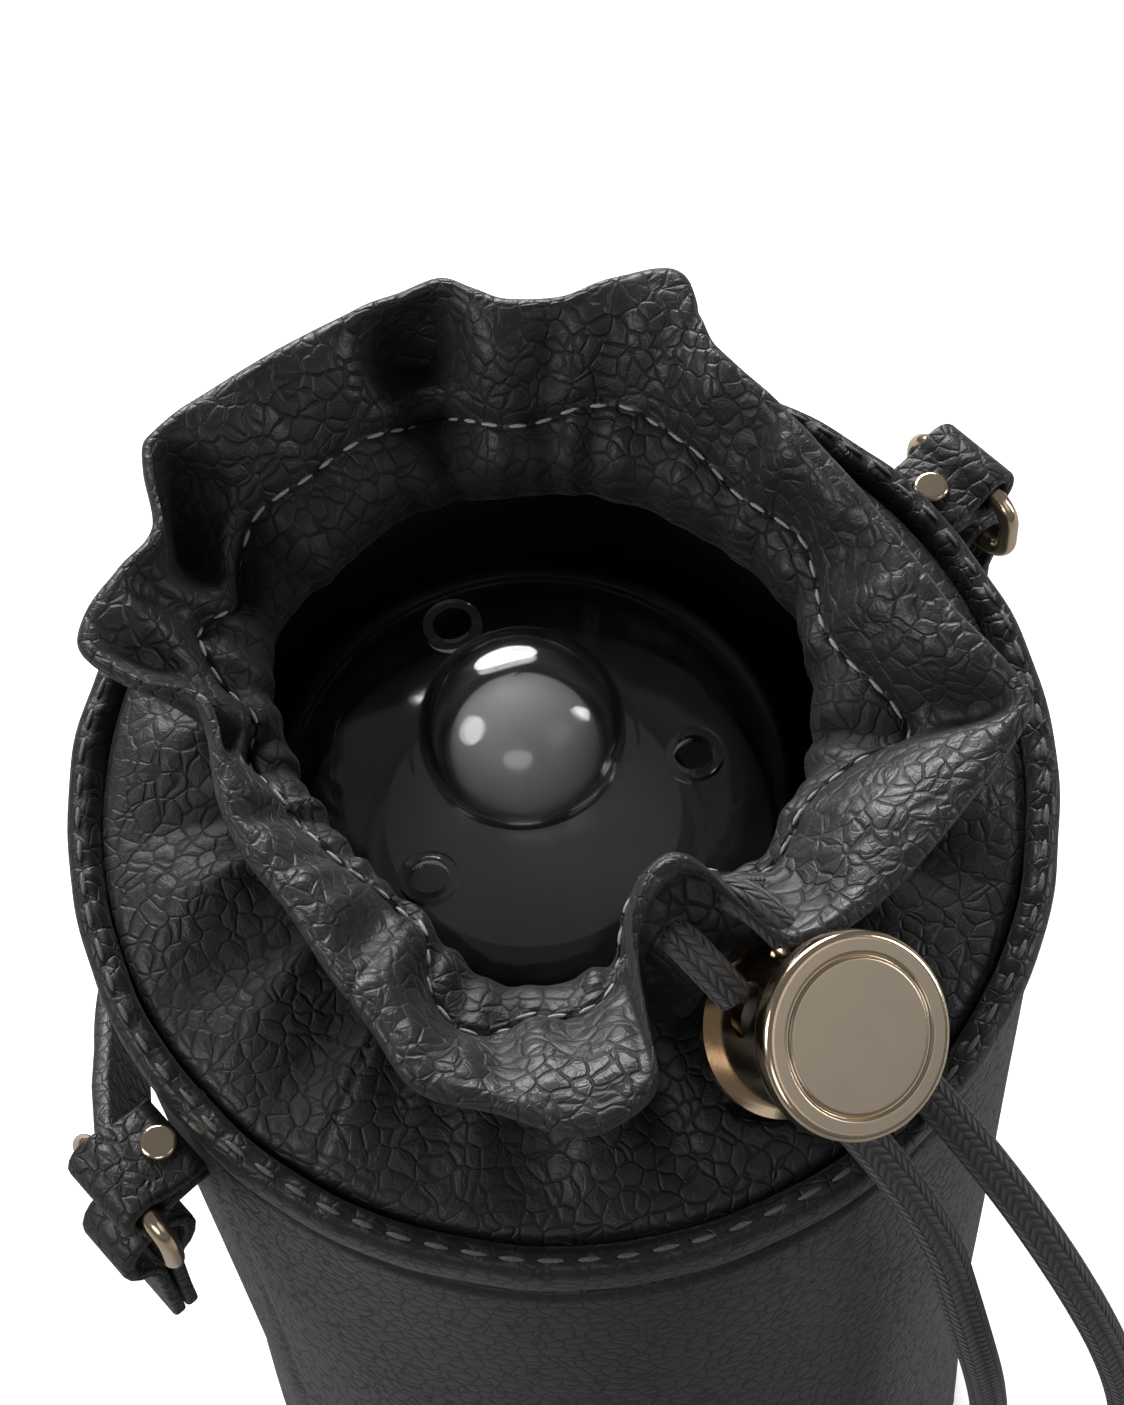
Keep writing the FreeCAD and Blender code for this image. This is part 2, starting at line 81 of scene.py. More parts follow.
rim_middle = (0, 0, 0.17)
area_light("back_light", (0.38, 0.72, 0.56), rim_middle, 0.80, 0.45, 15.0)
area_light("left_light", (-0.70, 0.30, 0.62), rim_middle, 0.40, 0.50, 3.6)
area_light("right_light", (0.65, -0.47, 0.36), rim_middle, 0.14, 0.50, 2.4)
area_light("front_card", (0.20, -0.68, 0.66), rim_middle, 0.45, 0.45, 0.28, (1.0, 0.97, 0.93))
area_light("front_left_fill", (-0.55, -0.55, 0.55), (0, 0, 0.18), 0.50, 0.35, 0.9)


def feed(tree, target, inputs):
    """Set a node's inputs; each one takes a value or the socket that feeds it."""
    for key, value in inputs.items():
        socket = target.inputs[key]
        if isinstance(value, bpy.types.NodeSocket):
            tree.links.new(value, socket)
        else:
            socket.default_value = value


def node(tree, kind, inputs=None, **settings):
    """One shader or geometry node with its settings and inputs."""
    made = tree.nodes.new(kind)
    for key, value in settings.items():
        setattr(made, key, value)
    feed(tree, made, inputs or {})
    return made


def maths(tree, operation, *values):
    """The result of one Math node."""
    return node(tree, "ShaderNodeMath", dict(enumerate(values)), operation=operation).outputs[0]


def colour_mix(tree, factor, dark, pale):
    """A colour between two others, each given as three numbers or as a socket."""
    dark, pale = (end if isinstance(end, bpy.types.NodeSocket) else (*end, 1) for end in (dark, pale))
    return node(tree, "ShaderNodeMix", {0: factor, 6: dark, 7: pale}, data_type="RGBA").outputs[2]


def new_material(name):
    """A new material, its node tree and its shader."""
    material = bpy.data.materials.new(name)
    material.use_nodes = True
    return material, material.node_tree, material.node_tree.nodes["Principled BSDF"]


# Sky and paper are bright where they are seen directly and weaker where they light the pouch.
world = bpy.data.worlds.new("studio")
world.use_nodes = True
sky_tree = world.node_tree
sky_seen = node(sky_tree, "ShaderNodeLightPath").outputs["Is Camera Ray"]
sky_strength = node(sky_tree, "ShaderNodeMapRange", {"Value": sky_seen, "To Min": 0.16, "To Max": 0.95})
feed(sky_tree, sky_tree.nodes["Background"], {
    "Color": (0.93, 0.95, 1.0, 1), "Strength": sky_strength.outputs["Result"],
})
bpy.context.scene.world = world

paper_material, paper_tree, paper_shader = new_material("white_paper")
paper_seen = node(paper_tree, "ShaderNodeLightPath").outputs["Is Camera Ray"]
feed(paper_tree, paper_shader, {
    "Base Color": colour_mix(paper_tree, paper_seen, (0.30, 0.30, 0.30), (0.90, 0.90, 0.90)),
    "Roughness": 0.9,
    "Emission Color": (1, 1, 1, 1),
    "Emission Strength": maths(paper_tree, "MULTIPLY", paper_seen, 0.42),
})
floor_mesh = bpy.data.meshes.new("floor")
floor_mesh.from_pydata([(-3, -3, 0), (3, -3, 0), (3, 3, 0), (-3, 3, 0)], [], [(0, 1, 2, 3)])
floor = scene_object("floor", floor_mesh)
floor.data.materials.append(paper_material)

# ======== The two cord tails and their knots
# Braided polyester cord, 3.8 mm thick. Each tail leaves the spring lock, falls over the rim
# and hangs down the front to an overhand knot.
cord_thickness = 0.0038
mm = 0.001


def add_piece(name, mesh, material, body):
    """A finished piece at the origin, in its material, riding on its body."""
    mesh.name = name
    piece = scene_object(name, mesh)
    piece.data.materials.clear()
    piece.data.materials.append(material)
    piece.data.polygons.foreach_set("use_smooth", [True] * len(piece.data.polygons))
    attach(piece, body)
    return piece


def quad_mesh(grid, wrap_rows=False, caps=False):
    """A mesh through rows of points. Every row closes on itself; the rows may close into a ring."""
    rows, columns = grid.shape[:2]
    points = [tuple(p) for p in grid.reshape(-1, 3)]
    faces = []
    for i in range(rows if wrap_rows else rows - 1):
        below = ((i + 1) % rows) * columns
        here = i * columns
        for j in range(columns):
            k = (j + 1) % columns
            faces.append((here + j, here + k, below + k, below + j))
    if caps:
        for row, flip in ((0, True), (rows - 1, False)):
            points.append(tuple(grid[row].mean(axis=0)))
            hub = len(points) - 1
            for j in range(columns):
                a, b = row * columns + j, row * columns + (j + 1) % columns
                faces.append((hub, b, a) if flip else (hub, a, b))
    mesh = bpy.data.meshes.new("piece")
    mesh.from_pydata(points, [], faces)
    uv = mesh.uv_layers.new(name="UVMap")
    for face in mesh.polygons:
        corners = list(face.vertices)
        around = [v % columns if v < rows * columns else corners[1] % columns for v in corners]
        across_seam = max(around) - min(around) > columns / 2
        for loop, v, a in zip(face.loop_indices, corners, around):
            a = a + columns if across_seam and a < columns / 2 else a
            row = v // columns if v < rows * columns else corners[1] // columns
            if wrap_rows and row == 0 and max(c // columns for c in corners) == rows - 1 and rows > 2:
                row = rows
            uv.data[loop].uv = (a / columns, row / rows)
    work = bmesh.new()
    work.from_mesh(mesh)
    bmesh.ops.recalc_face_normals(work, faces=work.faces)
    work.to_mesh(mesh)
    work.free()
    return mesh


def lay_frames(path, closed=False, up=None):
    """Two cross directions at each point of a path: carried along it, or kept close to up."""
    path = np.asarray(path, float)
    if closed:
        tangent = np.roll(path, -1, 0) - np.roll(path, 1, 0)
    else:
        tangent = np.gradient(path, axis=0)
    tangent /= np.linalg.norm(tangent, axis=1)[:, None]
    side = np.zeros_like(tangent)
    carried = np.array(up if up is not None else (0.3, 0.2, 0.9), float)
    for i, along in enumerate(tangent):
        guide = np.array(up, float) if up is not None else carried
        across = guide - along * guide.dot(along)
        side[i] = across / np.linalg.norm(across)
        carried = side[i]
    return side, np.cross(tangent, side)


def swept(path, outline, closed=False, up=None):
    """Rows of points: a cross-section (list of offsets) carried along a path."""
    side, other = lay_frames(path, closed, up)
    outline = np.asarray(outline, float)
    return (
        np.asarray(path, float)[:, None, :]
        + outline[None, :, :1] * side[:, None, :]
        + outline[None, :, 1:] * other[:, None, :]
    )


def around(count):
    """Evenly spaced angles of a full turn."""
    return np.arange(count) / count * 2 * math.pi


def circle(turn, reach, level):
    """Points round the vertical axis, at one distance and height or at one for each angle."""
    return np.stack([np.cos(turn) * reach, np.sin(turn) * reach, np.broadcast_to(level, turn.shape)], axis=1)


def nurbs_path(name, points):
    """The points along a cord's own smooth line: a NURBS spline through its route."""
    curve = bpy.data.curves.new(name, "CURVE")
    curve.dimensions = "3D"
    spline = curve.splines.new("NURBS")
    spline.points.add(len(points) - 1)
    for slot, point in zip(spline.points, points):
        slot.co = (*point, 1)
    spline.order_u = 3
    spline.use_endpoint_u = True
    spline.resolution_u = 16
    holder = scene_object(name, curve)
    bpy.context.view_layer.update()
    line = bpy.data.meshes.new_from_object(holder)
    path = [tuple(v.co) for v in line.vertices]
    bpy.data.objects.remove(holder)
    bpy.data.meshes.remove(line)
    return path


def smooth_step(tree, value, low, high):
    """A mask that rises smoothly from 0 at the low value to 1 at the high one."""
    return node(
        tree, "ShaderNodeMapRange", {"Value": value, "From Min": low, "From Max": high},
        interpolation_type="SMOOTHSTEP",
    ).outputs["Result"]


def object_places(tree):
    return node(tree, "ShaderNodeTexCoord").outputs["Object"]


def noise(tree, places, scale, detail):
    made = node(tree, "ShaderNodeTexNoise", {"Vector": places, "Scale": scale, "Detail": detail})
    return made.outputs["Fac"]


def bumped(tree, height, strength, distance):
    """A surface direction disturbed by a height."""
    return node(
        tree, "ShaderNodeBump", {"Height": height, "Strength": strength, "Distance": distance}
    ).outputs[0]


# Braid: twelve columns of strands round the cord, which slant one way and the other in turn.
braid_columns = 12.0
strands_per_metre = 1000.0
cord_material, cord_tree, cord_shader = new_material("braided_cord")
cord_uv = node(cord_tree, "ShaderNodeUVMap", uv_map="braid")
cord_axes = node(cord_tree, "ShaderNodeSeparateXYZ", {"Vector": cord_uv.outputs[0]})
column = maths(cord_tree, "MULTIPLY", cord_axes.outputs["X"], braid_columns)
in_column = maths(cord_tree, "FRACT", column)
parity = maths(cord_tree, "PINGPONG", maths(cord_tree, "FLOOR", column), 1.0)
slant = maths(cord_tree, "MULTIPLY_ADD", parity, 2.0, -1.0)
lengthwise = maths(cord_tree, "MULTIPLY", cord_axes.outputs["Y"], strands_per_metre)
slanted = maths(cord_tree, "MULTIPLY", maths(cord_tree, "MULTIPLY", in_column, slant), 0.9)
in_strand = maths(cord_tree, "FRACT", maths(cord_tree, "ADD", lengthwise, slanted))
strand = maths(cord_tree, "SINE", maths(cord_tree, "MULTIPLY", in_strand, math.pi))
rib = maths(cord_tree, "SINE", maths(cord_tree, "MULTIPLY", in_column, math.pi))
strand_relief = maths(cord_tree, "POWER", strand, 0.6)
relief = maths(cord_tree, "MULTIPLY", strand_relief, maths(cord_tree, "POWER", rib, 0.5))
fibre = noise(cord_tree, object_places(cord_tree), 5200.0, 2.0)
relief = maths(cord_tree, "ADD", relief, maths(cord_tree, "MULTIPLY", fibre, 0.25))
raised = smooth_step(cord_tree, relief, 0.2, 1.05)
feed(cord_tree, cord_shader, {
    "Base Color": colour_mix(cord_tree, raised, (0.004, 0.004, 0.0045), (0.050, 0.051, 0.055)),
    "Normal": bumped(cord_tree, relief, 1.0, 0.00035),
    "Roughness": 0.62,
    "Sheen Weight": 0.15,
})


def braid_map(mesh, path):
    """A UV map that runs round the cord and along it, in metres."""
    steps = np.linalg.norm(np.diff(np.asarray(path), axis=0), axis=1)
    along = np.concatenate([[0], np.cumsum(steps), [steps.sum() + steps.mean()]])
    braid = mesh.uv_layers.new(name="braid")
    plain = mesh.uv_layers["UVMap"].data
    rows = len(path)
    for loop in range(len(braid.data)):
        u, v = plain[loop].uv
        braid.data[loop].uv = (u, along[min(int(round(v * rows)), rows)])


def cord_mesh(path, radius, closed=False):
    """A braided cord along a path, open with capped ends or closed into a ring."""
    outline = circle(around(20), radius, 0)[:, :2]
    mesh = quad_mesh(swept(path, outline, closed), wrap_rows=closed, caps=not closed)
    braid_map(mesh, path)
    return mesh


def knot_mesh(start, direction):
    """An overhand knot: the cord laced round itself, with a short cut end below."""
    turn = np.linspace(0, 2 * math.pi, 120, endpoint=False)
    loops = np.stack(
        [
            np.sin(turn) + 2 * np.sin(2 * turn),
            np.cos(turn) - 2 * np.cos(2 * turn),
            -1.15 * np.sin(3 * turn),
        ],
        axis=1,
    ) * 1.15 * mm
    down = Vector(direction).normalized()
    spin = np.array(down.to_track_quat("X", "Y").to_matrix())
    middle = np.array(start) + np.array(down) * 4.2 * mm
    path = loops @ spin.T + middle
    knot = cord_mesh(path, 1.75 * mm, closed=True)
    end = [middle + np.array(down) * s * mm for s in (0, 2.5, 5, 7.5, 9.5)]
    stub = cord_mesh(end, 1.8 * mm)
    work = bmesh.new()
    work.from_mesh(knot)
    work.from_mesh(stub)
    work.to_mesh(knot)
    work.free()
    bpy.data.meshes.remove(stub)
    return knot


tail_routes = {
    "left": [
        (-0.00448, -0.04349, 0.17274), (-0.00261, -0.05239, 0.16491), (-0.0026, -0.0582, 0.148),
        (-0.0004, -0.0604, 0.129), (0.0024, -0.0594, 0.109), (0.0028, -0.0566, 0.088),
        (0.0012, -0.0552, 0.067), (-0.0008, -0.0560, 0.047),
    ],
    "right": [
        (0.00263, -0.04252, 0.17333), (0.00450, -0.05141, 0.16550), (0.0052, -0.0634, 0.155),
        (0.0074, -0.0694, 0.139), (0.0096, -0.0712, 0.120), (0.0108, -0.0692, 0.100),
        (0.0104, -0.0666, 0.080), (0.0114, -0.0656, 0.060), (0.0128, -0.0664, 0.041),
    ],
}
for side, route in tail_routes.items():
    tail_path = nurbs_path("route_" + side, route)
    tail = add_piece(
        "cord_tail_" + side, cord_mesh(tail_path, cord_thickness / 2), cord_material, "pouch"
    )
    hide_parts("cord_" + side)
    last_run = np.array(route[-1]) - np.array(route[-2])
    knot = add_piece(
        "cord_knot_" + side, knot_mesh(route[-1], last_run), cord_material, "pouch"
    )
    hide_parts("knot_" + side)

# ======== Leather side wall
# Two panels of black pebbled cowhide, 1.6 mm thick, joined by a seam under each tab.
# The wall is soft and stands a little wavy under the stiffer rim.
def node_group(name, kind, inputs, outputs):
    """An empty node group: its tree, the sockets it takes in and its output node."""
    tree = bpy.data.node_groups.new(name, kind)
    for in_out, sockets in (("INPUT", inputs), ("OUTPUT", outputs)):
        for label, socket_kind in sockets.items():
            tree.interface.new_socket(label, in_out=in_out, socket_type="NodeSocket" + socket_kind)
    return tree, tree.nodes.new("NodeGroupInput").outputs, tree.nodes.new("NodeGroupOutput")


def vector_maths(tree, operation, first, second):
    return node(tree, "ShaderNodeVectorMath", {0: first, 1: second}, operation=operation).outputs[0]


def crease_distance(tree, places, scale, randomness):
    """The distance to the nearest crease between cells of one size."""
    return node(
        tree, "ShaderNodeTexVoronoi", {"Vector": places, "Scale": scale, "Randomness": randomness},
        feature="DISTANCE_TO_EDGE",
    ).outputs["Distance"]


pebbles, grain_in, grain_out = node_group(
    "pebbled_grain", "ShaderNodeTree", {"Cell Size": "Float", "Stretch": "Float", "Vector": "Vector"},
    {"Height": "Float", "Crease": "Float", "Mottle": "Float"},
)
drift = node(pebbles, "ShaderNodeTexNoise", {"Vector": grain_in["Vector"], "Scale": 300.0, "Detail": 1.0})
drift_step = vector_maths(pebbles, "MULTIPLY", drift.outputs["Color"], (0.0022, 0.0022, 0.0022))
warped = vector_maths(pebbles, "ADD", grain_in["Vector"], drift_step)
stretched = node(pebbles, "ShaderNodeCombineXYZ", {"X": 1.0, "Y": 1.0, "Z": grain_in["Stretch"]})
cell_space = vector_maths(pebbles, "MULTIPLY", warped, stretched.outputs[0])
cell_scale = maths(pebbles, "DIVIDE", 1.0, grain_in["Cell Size"])
cells = crease_distance(pebbles, cell_space, cell_scale, 0.95)
small_cells = crease_distance(pebbles, cell_space, maths(pebbles, "MULTIPLY", cell_scale, 2.1), 1.0)
crease = smooth_step(pebbles, cells, 0.0, 0.11)
pillow = smooth_step(pebbles, cells, 0.0, 0.55)
small_crease = smooth_step(pebbles, small_cells, 0.0, 0.12)
pores = noise(pebbles, grain_in["Vector"], 3600.0, 3.0)
patches = smooth_step(pebbles, noise(pebbles, grain_in["Vector"], 70.0, 3.0), 0.35, 0.65)
grain_height = maths(pebbles, "MULTIPLY", maths(pebbles, "MULTIPLY_ADD", patches, 0.45, 0.15), crease)
for layer, share in ((pillow, 0.38), (small_crease, 0.07), (pores, 0.05)):
    grain_height = maths(pebbles, "ADD", grain_height, maths(pebbles, "MULTIPLY", layer, share))
feed(pebbles, grain_out, {"Height": grain_height, "Crease": crease, "Mottle": patches})


def leather(name, cell_size, stretch, depth, painted_shade_factor=1.0, worn=False):
    """Black pebbled leather, scaled darker by a painted shade factor; worn edges, and painted shade with a
    dull gloss in folds, come from the piece's own attributes.
    """
    material, tree, shader = new_material(name)
    grain = node(
        tree, "ShaderNodeGroup", {"Cell Size": cell_size, "Stretch": stretch, "Vector": object_places(tree)},
        node_tree=pebbles,
    ).outputs
    # Painted shade: the wall, base and rim take darker copies of this one leather, their colours scaled by
    # the shade factor.
    dark = tuple(painted_shade_factor * c for c in (0.0105, 0.0105, 0.011))
    pale = tuple(painted_shade_factor * c for c in (0.0155, 0.0155, 0.0165))
    face = colour_mix(tree, grain["Mottle"], dark, pale)
    tone = colour_mix(tree, grain["Crease"], (0.003, 0.003, 0.0032), face)
    rough = maths(tree, "MULTIPLY_ADD", grain["Crease"], -0.20, 0.64)
    if worn:
        edge = node(tree, "ShaderNodeAttribute", attribute_name="worn").outputs["Fac"]
        tone = colour_mix(tree, maths(tree, "MULTIPLY", edge, 0.5), tone, (0.030, 0.030, 0.032))
        rough = maths(tree, "MULTIPLY_ADD", edge, -0.06, rough)
        # Painted shade: this attribute darkens the colour and dulls the gloss in folds, hollows, the inner
        # neck and under the ruffle.
        fold = node(tree, "ShaderNodeAttribute", attribute_name="painted_fold_shade").outputs["Fac"]
        tone = colour_mix(tree, fold, tone, (0.0015, 0.0015, 0.0016))
        rough = maths(tree, "MULTIPLY_ADD", fold, 0.40, rough)
    feed(tree, shader, {
        "Base Color": tone, "Roughness": rough, "Normal": bumped(tree, grain["Height"], 1.0, depth),
        "Specular IOR Level": 0.42, "Sheen Weight": 0.05, "Sheen Roughness": 0.4,
    })
    return material


# The wall's copy of the leather is painted darker, as painted shade (factor 0.6).
wall_leather = leather("wall_leather", 0.0017, 0.9, 0.00011, painted_shade_factor=0.6)
rim_height = 0.172
wall_radius = 0.046
lean = math.radians(6.8)
lean_azimuth = math.radians(-126.0)
lean_to = np.array([math.cos(lean_azimuth), math.sin(lean_azimuth)])


def rim_plane(points, height):
    """World points from plan positions and a height above the leaning rim plane."""
    hinge = Vector((0, 0, 1)).cross(Vector((*lean_to, 0)))
    turn = np.array(Matrix.Translation((0, 0, rim_height)) @ Matrix.Rotation(lean, 4, hinge))
    flat = np.concatenate([points, np.broadcast_to(height, points.shape[:-1])[..., None]], axis=-1)
    return flat @ turn[:3, :3].T + turn[:3, 3]


def under_rim(turn, radius, drop):
    """Heights at a radius that stay a drop below the leaning rim plane."""
    towards = np.cos(turn) * lean_to[0] + np.sin(turn) * lean_to[1]
    return rim_height - drop - math.tan(lean) * radius * towards


def side_seams(turn, width):
    """A narrow rise from 0 to 1 at each of the two side seams."""
    gaps = [(turn - seam + math.pi) % (2 * math.pi) - math.pi for seam in (0, math.pi)]
    return sum(np.exp(-((gap / width) ** 2)) for gap in gaps)


wall_turn = around(240)
wall_steps = np.linspace(0, 1, 56)
wall_foot = 0.0021


def wall_ring(radius, rise, sag=1.0):
    """One ring of the wall at a share of its height, soft and slightly out of true."""
    level = wall_foot + (under_rim(wall_turn, wall_radius, 0.0073) - wall_foot) * rise
    ease = math.sin(math.pi * min(max(rise, 0), 1)) ** 0.8
    waves = (
        0.45 * np.sin(3 * wall_turn + 5.5 * rise) + 0.30 * np.sin(5 * wall_turn - 7 * rise + 1)
        + 0.22 * np.sin(8 * wall_turn + 13 * rise + 2) - 0.55
    ) * mm * ease * sag
    return circle(wall_turn, radius + waves - 0.45 * mm * side_seams(wall_turn, 0.012) * sag, level)


wall_rows = [wall_ring(wall_radius - 0.9 * mm, 0.0), wall_ring(wall_radius - 0.2 * mm, 0.002)]
wall_rows += [wall_ring(wall_radius, rise) for rise in wall_steps[1:-1]]
wall_rows += [wall_ring(wall_radius - 0.2 * mm, 1.0), wall_ring(wall_radius - 1.5 * mm, 1.0, 0.9)]
wall_rows += [wall_ring(wall_radius - 1.6 * mm, rise, 0.9) for rise in wall_steps[-2:0:-4]]
wall_rows += [wall_ring(wall_radius - 1.5 * mm, 0.0)]
wall = add_piece(
    "leather_wall", quad_mesh(np.array(wall_rows), wrap_rows=True), wall_leather, "pouch"
)
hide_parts("body_front_panel", "body_back_panel")

# ======== Base with its topstitched edge, board and lining
# A disc of the same leather is sewn in under the wall. A stiff fibre board lies on it, and a
# thin woven cloth lining covers the board and the wall inside.


def thread(name, dark, pale):
    """Twisted polyester sewing thread."""
    material, tree, shader = new_material(name)
    twist = noise(tree, object_places(tree), 4200.0, 1.0)
    feed(tree, shader, {
        "Base Color": colour_mix(tree, twist, dark, pale), "Normal": bumped(tree, twist, 0.6, 0.0001),
        "Roughness": 0.55, "Sheen Weight": 0.15,
    })
    return material


grey_thread = thread("grey_thread", (0.13, 0.13, 0.135), (0.48, 0.48, 0.49))
black_thread = thread("black_thread", (0.020, 0.020, 0.021), (0.15, 0.15, 0.155))

stitching, sewn, sewn_out = node_group(
    "stitch_row", "GeometryNodeTree",
    {
        "Geometry": "Geometry", "Pitch": "Float", "Stitch Length": "Float", "Thread Thickness": "Float",
        "Seed": "Int", "Thread": "Material",
    },
    {"Geometry": "Geometry"},
)
stitch_sockets = {
    item.name: item.identifier for item in stitching.interface.items_tree if item.in_out == "INPUT"
}
seam_line = node(stitching, "GeometryNodeMeshToCurve", {"Mesh": sewn["Geometry"]})
seam_holes = node(
    stitching, "GeometryNodeResampleCurve", {"Curve": seam_line.outputs["Curve"], "Length": sewn["Pitch"]},
    mode="LENGTH",
)
one_stitch = node(stitching, "GeometryNodeMeshUVSphere", {"Segments": 8, "Rings": 6, "Radius": 1.0})
seam_run = node(stitching, "GeometryNodeInputTangent")
facing_along = node(
    stitching, "FunctionNodeAlignRotationToVector", {"Vector": seam_run.outputs["Tangent"]}, axis="Z"
)
half_length = maths(stitching, "MULTIPLY", sewn["Stitch Length"], 0.5)
half_thread = maths(stitching, "MULTIPLY", sewn["Thread Thickness"], 0.5)
uneven = node(
    stitching, "FunctionNodeRandomValue", {"Seed": sewn["Seed"], 2: 0.88, 3: 1.10}, data_type="FLOAT"
)
uneven_length = maths(stitching, "MULTIPLY", half_length, uneven.outputs[1])
stitch_size = node(
    stitching, "ShaderNodeCombineXYZ", {"X": half_thread, "Y": half_thread, "Z": uneven_length}
)
placed_stitches = node(
    stitching, "GeometryNodeInstanceOnPoints",
    {
        "Points": seam_holes.outputs["Curve"], "Instance": one_stitch.outputs["Mesh"],
        "Rotation": facing_along.outputs["Rotation"], "Scale": stitch_size.outputs[0],
    },
)
real_stitches = node(
    stitching, "GeometryNodeRealizeInstances", {"Geometry": placed_stitches.outputs["Instances"]}
)
threaded = node(
    stitching, "GeometryNodeSetMaterial",
    {"Geometry": real_stitches.outputs["Geometry"], "Material": sewn["Thread"]},
)
feed(stitching, sewn_out, {"Geometry": threaded.outputs["Geometry"]})


def stitch_row(name, points, pitch, stitch_length, thickness, seed, thread_material):
    """A row of thread stitches along a closed line of points, as one plain mesh."""
    count = len(points)
    line = bpy.data.meshes.new(name)
    line.from_pydata([tuple(p) for p in points], [(i, (i + 1) % count) for i in range(count)], [])
    holder = scene_object(name + "_line", line)
    modifier = holder.modifiers.new("stitches", "NODES")
    modifier.node_group = stitching
    for label, value in (
        ("Pitch", pitch), ("Stitch Length", stitch_length), ("Thread Thickness", thickness),
        ("Seed", seed), ("Thread", thread_material),
    ):
        modifier[stitch_sockets[label]] = value
    bpy.context.view_layer.update()
    graph = bpy.context.evaluated_depsgraph_get()
    mesh = bpy.data.meshes.new_from_object(holder.evaluated_get(graph), depsgraph=graph)
    bpy.data.objects.remove(holder)
    return add_piece(name, mesh, thread_material, "pouch")


def turned_mesh(outline, count):
    """A solid turned about the vertical axis from an outline of radii and heights."""
    return quad_mesh(np.array([circle(around(count), r, z) for r, z in outline]), caps=True)


def dress(part_name, material):
    """Give a CAD part that stays in the model its finished material."""
    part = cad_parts[part_name]
    part.data.materials.clear()
    part.data.materials.append(material)


# The base's copy of the leather is painted darker, as painted shade (factor 0.6).
base_leather = leather("base_leather", 0.0018, 1.0, 0.00014, painted_shade_factor=0.6)
base_outline = [
    (20, 0.0), (42, 0.0), (44.6, 0.05), (45.6, 0.35), (45.95, 0.95), (45.6, 1.55), (44.8, 1.8), (30, 1.8),
    (10, 1.8),
]
base = add_piece(
    "leather_base", turned_mesh([(r * mm, z * mm) for r, z in base_outline], 160),
    base_leather, "pouch",
)
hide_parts("base_panel")
rim_pitch = 0.0035
stitch_row(
    "base_topstitch", circle(around(400), 0.0459, 0.0052), rim_pitch, 0.0024, 0.0006, 3, black_thread
)

board_material, board_tree, board_shader = new_material("fibre_board")
fibres = noise(board_tree, object_places(board_tree), 900.0, 5.0)
feed(board_tree, board_shader, {
    "Base Color": colour_mix(board_tree, fibres, (0.10, 0.085, 0.07), (0.28, 0.24, 0.19)), "Roughness": 0.85,
})
dress("base_board", board_material)

lining_material, lining_tree, lining_shader = new_material("lining_cloth")
cloth_axes = node(lining_tree, "ShaderNodeSeparateXYZ", {"Vector": object_places(lining_tree)}).outputs
weft = maths(lining_tree, "SINE", maths(lining_tree, "MULTIPLY", cloth_axes["Z"], 9000.0))
bearing = maths(lining_tree, "ARCTAN2", cloth_axes["Y"], cloth_axes["X"])
warp = maths(lining_tree, "SINE", maths(lining_tree, "MULTIPLY", bearing, 400.0))
woven = maths(lining_tree, "MULTIPLY", weft, warp)
weave_mask = maths(lining_tree, "MULTIPLY_ADD", woven, 0.5, 0.5)
feed(lining_tree, lining_shader, {
    "Base Color": colour_mix(lining_tree, weave_mask, (0.010, 0.010, 0.011), (0.022, 0.022, 0.024)),
    "Normal": bumped(lining_tree, woven, 0.5, 0.0001),
    "Roughness": 0.8,
})
lining_top = 0.175


def lining_ring(radius, height, wave):
    """One ring of the lining; the rings near its top follow the leaning rim."""
    top = under_rim(wall_turn, 0.044, 0.0078)
    level = np.minimum(top, height) if height < 0.15 else top - (lining_top - height)
    soft = 0.25 * np.sin(9 * wall_turn + 60 * height) + 0.2 * np.sin(16 * wall_turn - 35 * height) - 0.5
    return circle(wall_turn, radius + wave * mm * soft, level)


lining_heights = range(10, 146, 15)
lining_rows = [lining_ring(r * mm, 0.0045, 0) for r in (4, 15, 30, 40, 43)]
lining_rows += [lining_ring(43.9 * mm, 0.0052, 0)]
lining_rows += [lining_ring(43.7 * mm, z * mm, 1) for z in lining_heights]
lining_rows += [lining_ring(43.7 * mm, lining_top, 0.4), lining_ring(43.1 * mm, lining_top, 0.4)]
lining_rows += [lining_ring(42.9 * mm, z * mm, 1) for z in reversed(lining_heights)]
lining_rows += [lining_ring(r * mm, 0.0052, 0) for r in (42.6, 40, 30, 15, 4)]
lining = add_piece(
    "cloth_lining", quad_mesh(np.array(lining_rows), caps=True), lining_material, "pouch"
)
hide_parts("body_lining")

# ======== Folded rim band
# A strip of the same leather is folded over the top edge of the wall, with one row of
# topstitching on its rounded top. The soft collar is sewn into the groove inside it.
# The rim band's copy of the leather is painted darker, as painted shade (factor 0.8).
rim_leather = leather("rim_leather", 0.0018, 1.0, 0.00014, painted_shade_factor=0.8)
rim_turn = around(480)
rim_outline = [
    (44.3, -6.6), (44.2, -4.0), (44.15, -2.0), (44.35, -1.0), (44.8, -0.35), (45.4, -0.05),
    (45.75, -0.18), (46.1, -0.05), (46.6, -0.3), (47.05, -1.0), (47.25, -2.0), (47.3, -3.6), (47.2, -5.4),
    (47.0, -6.5), (46.6, -6.95), (45.6, -7.0),
]


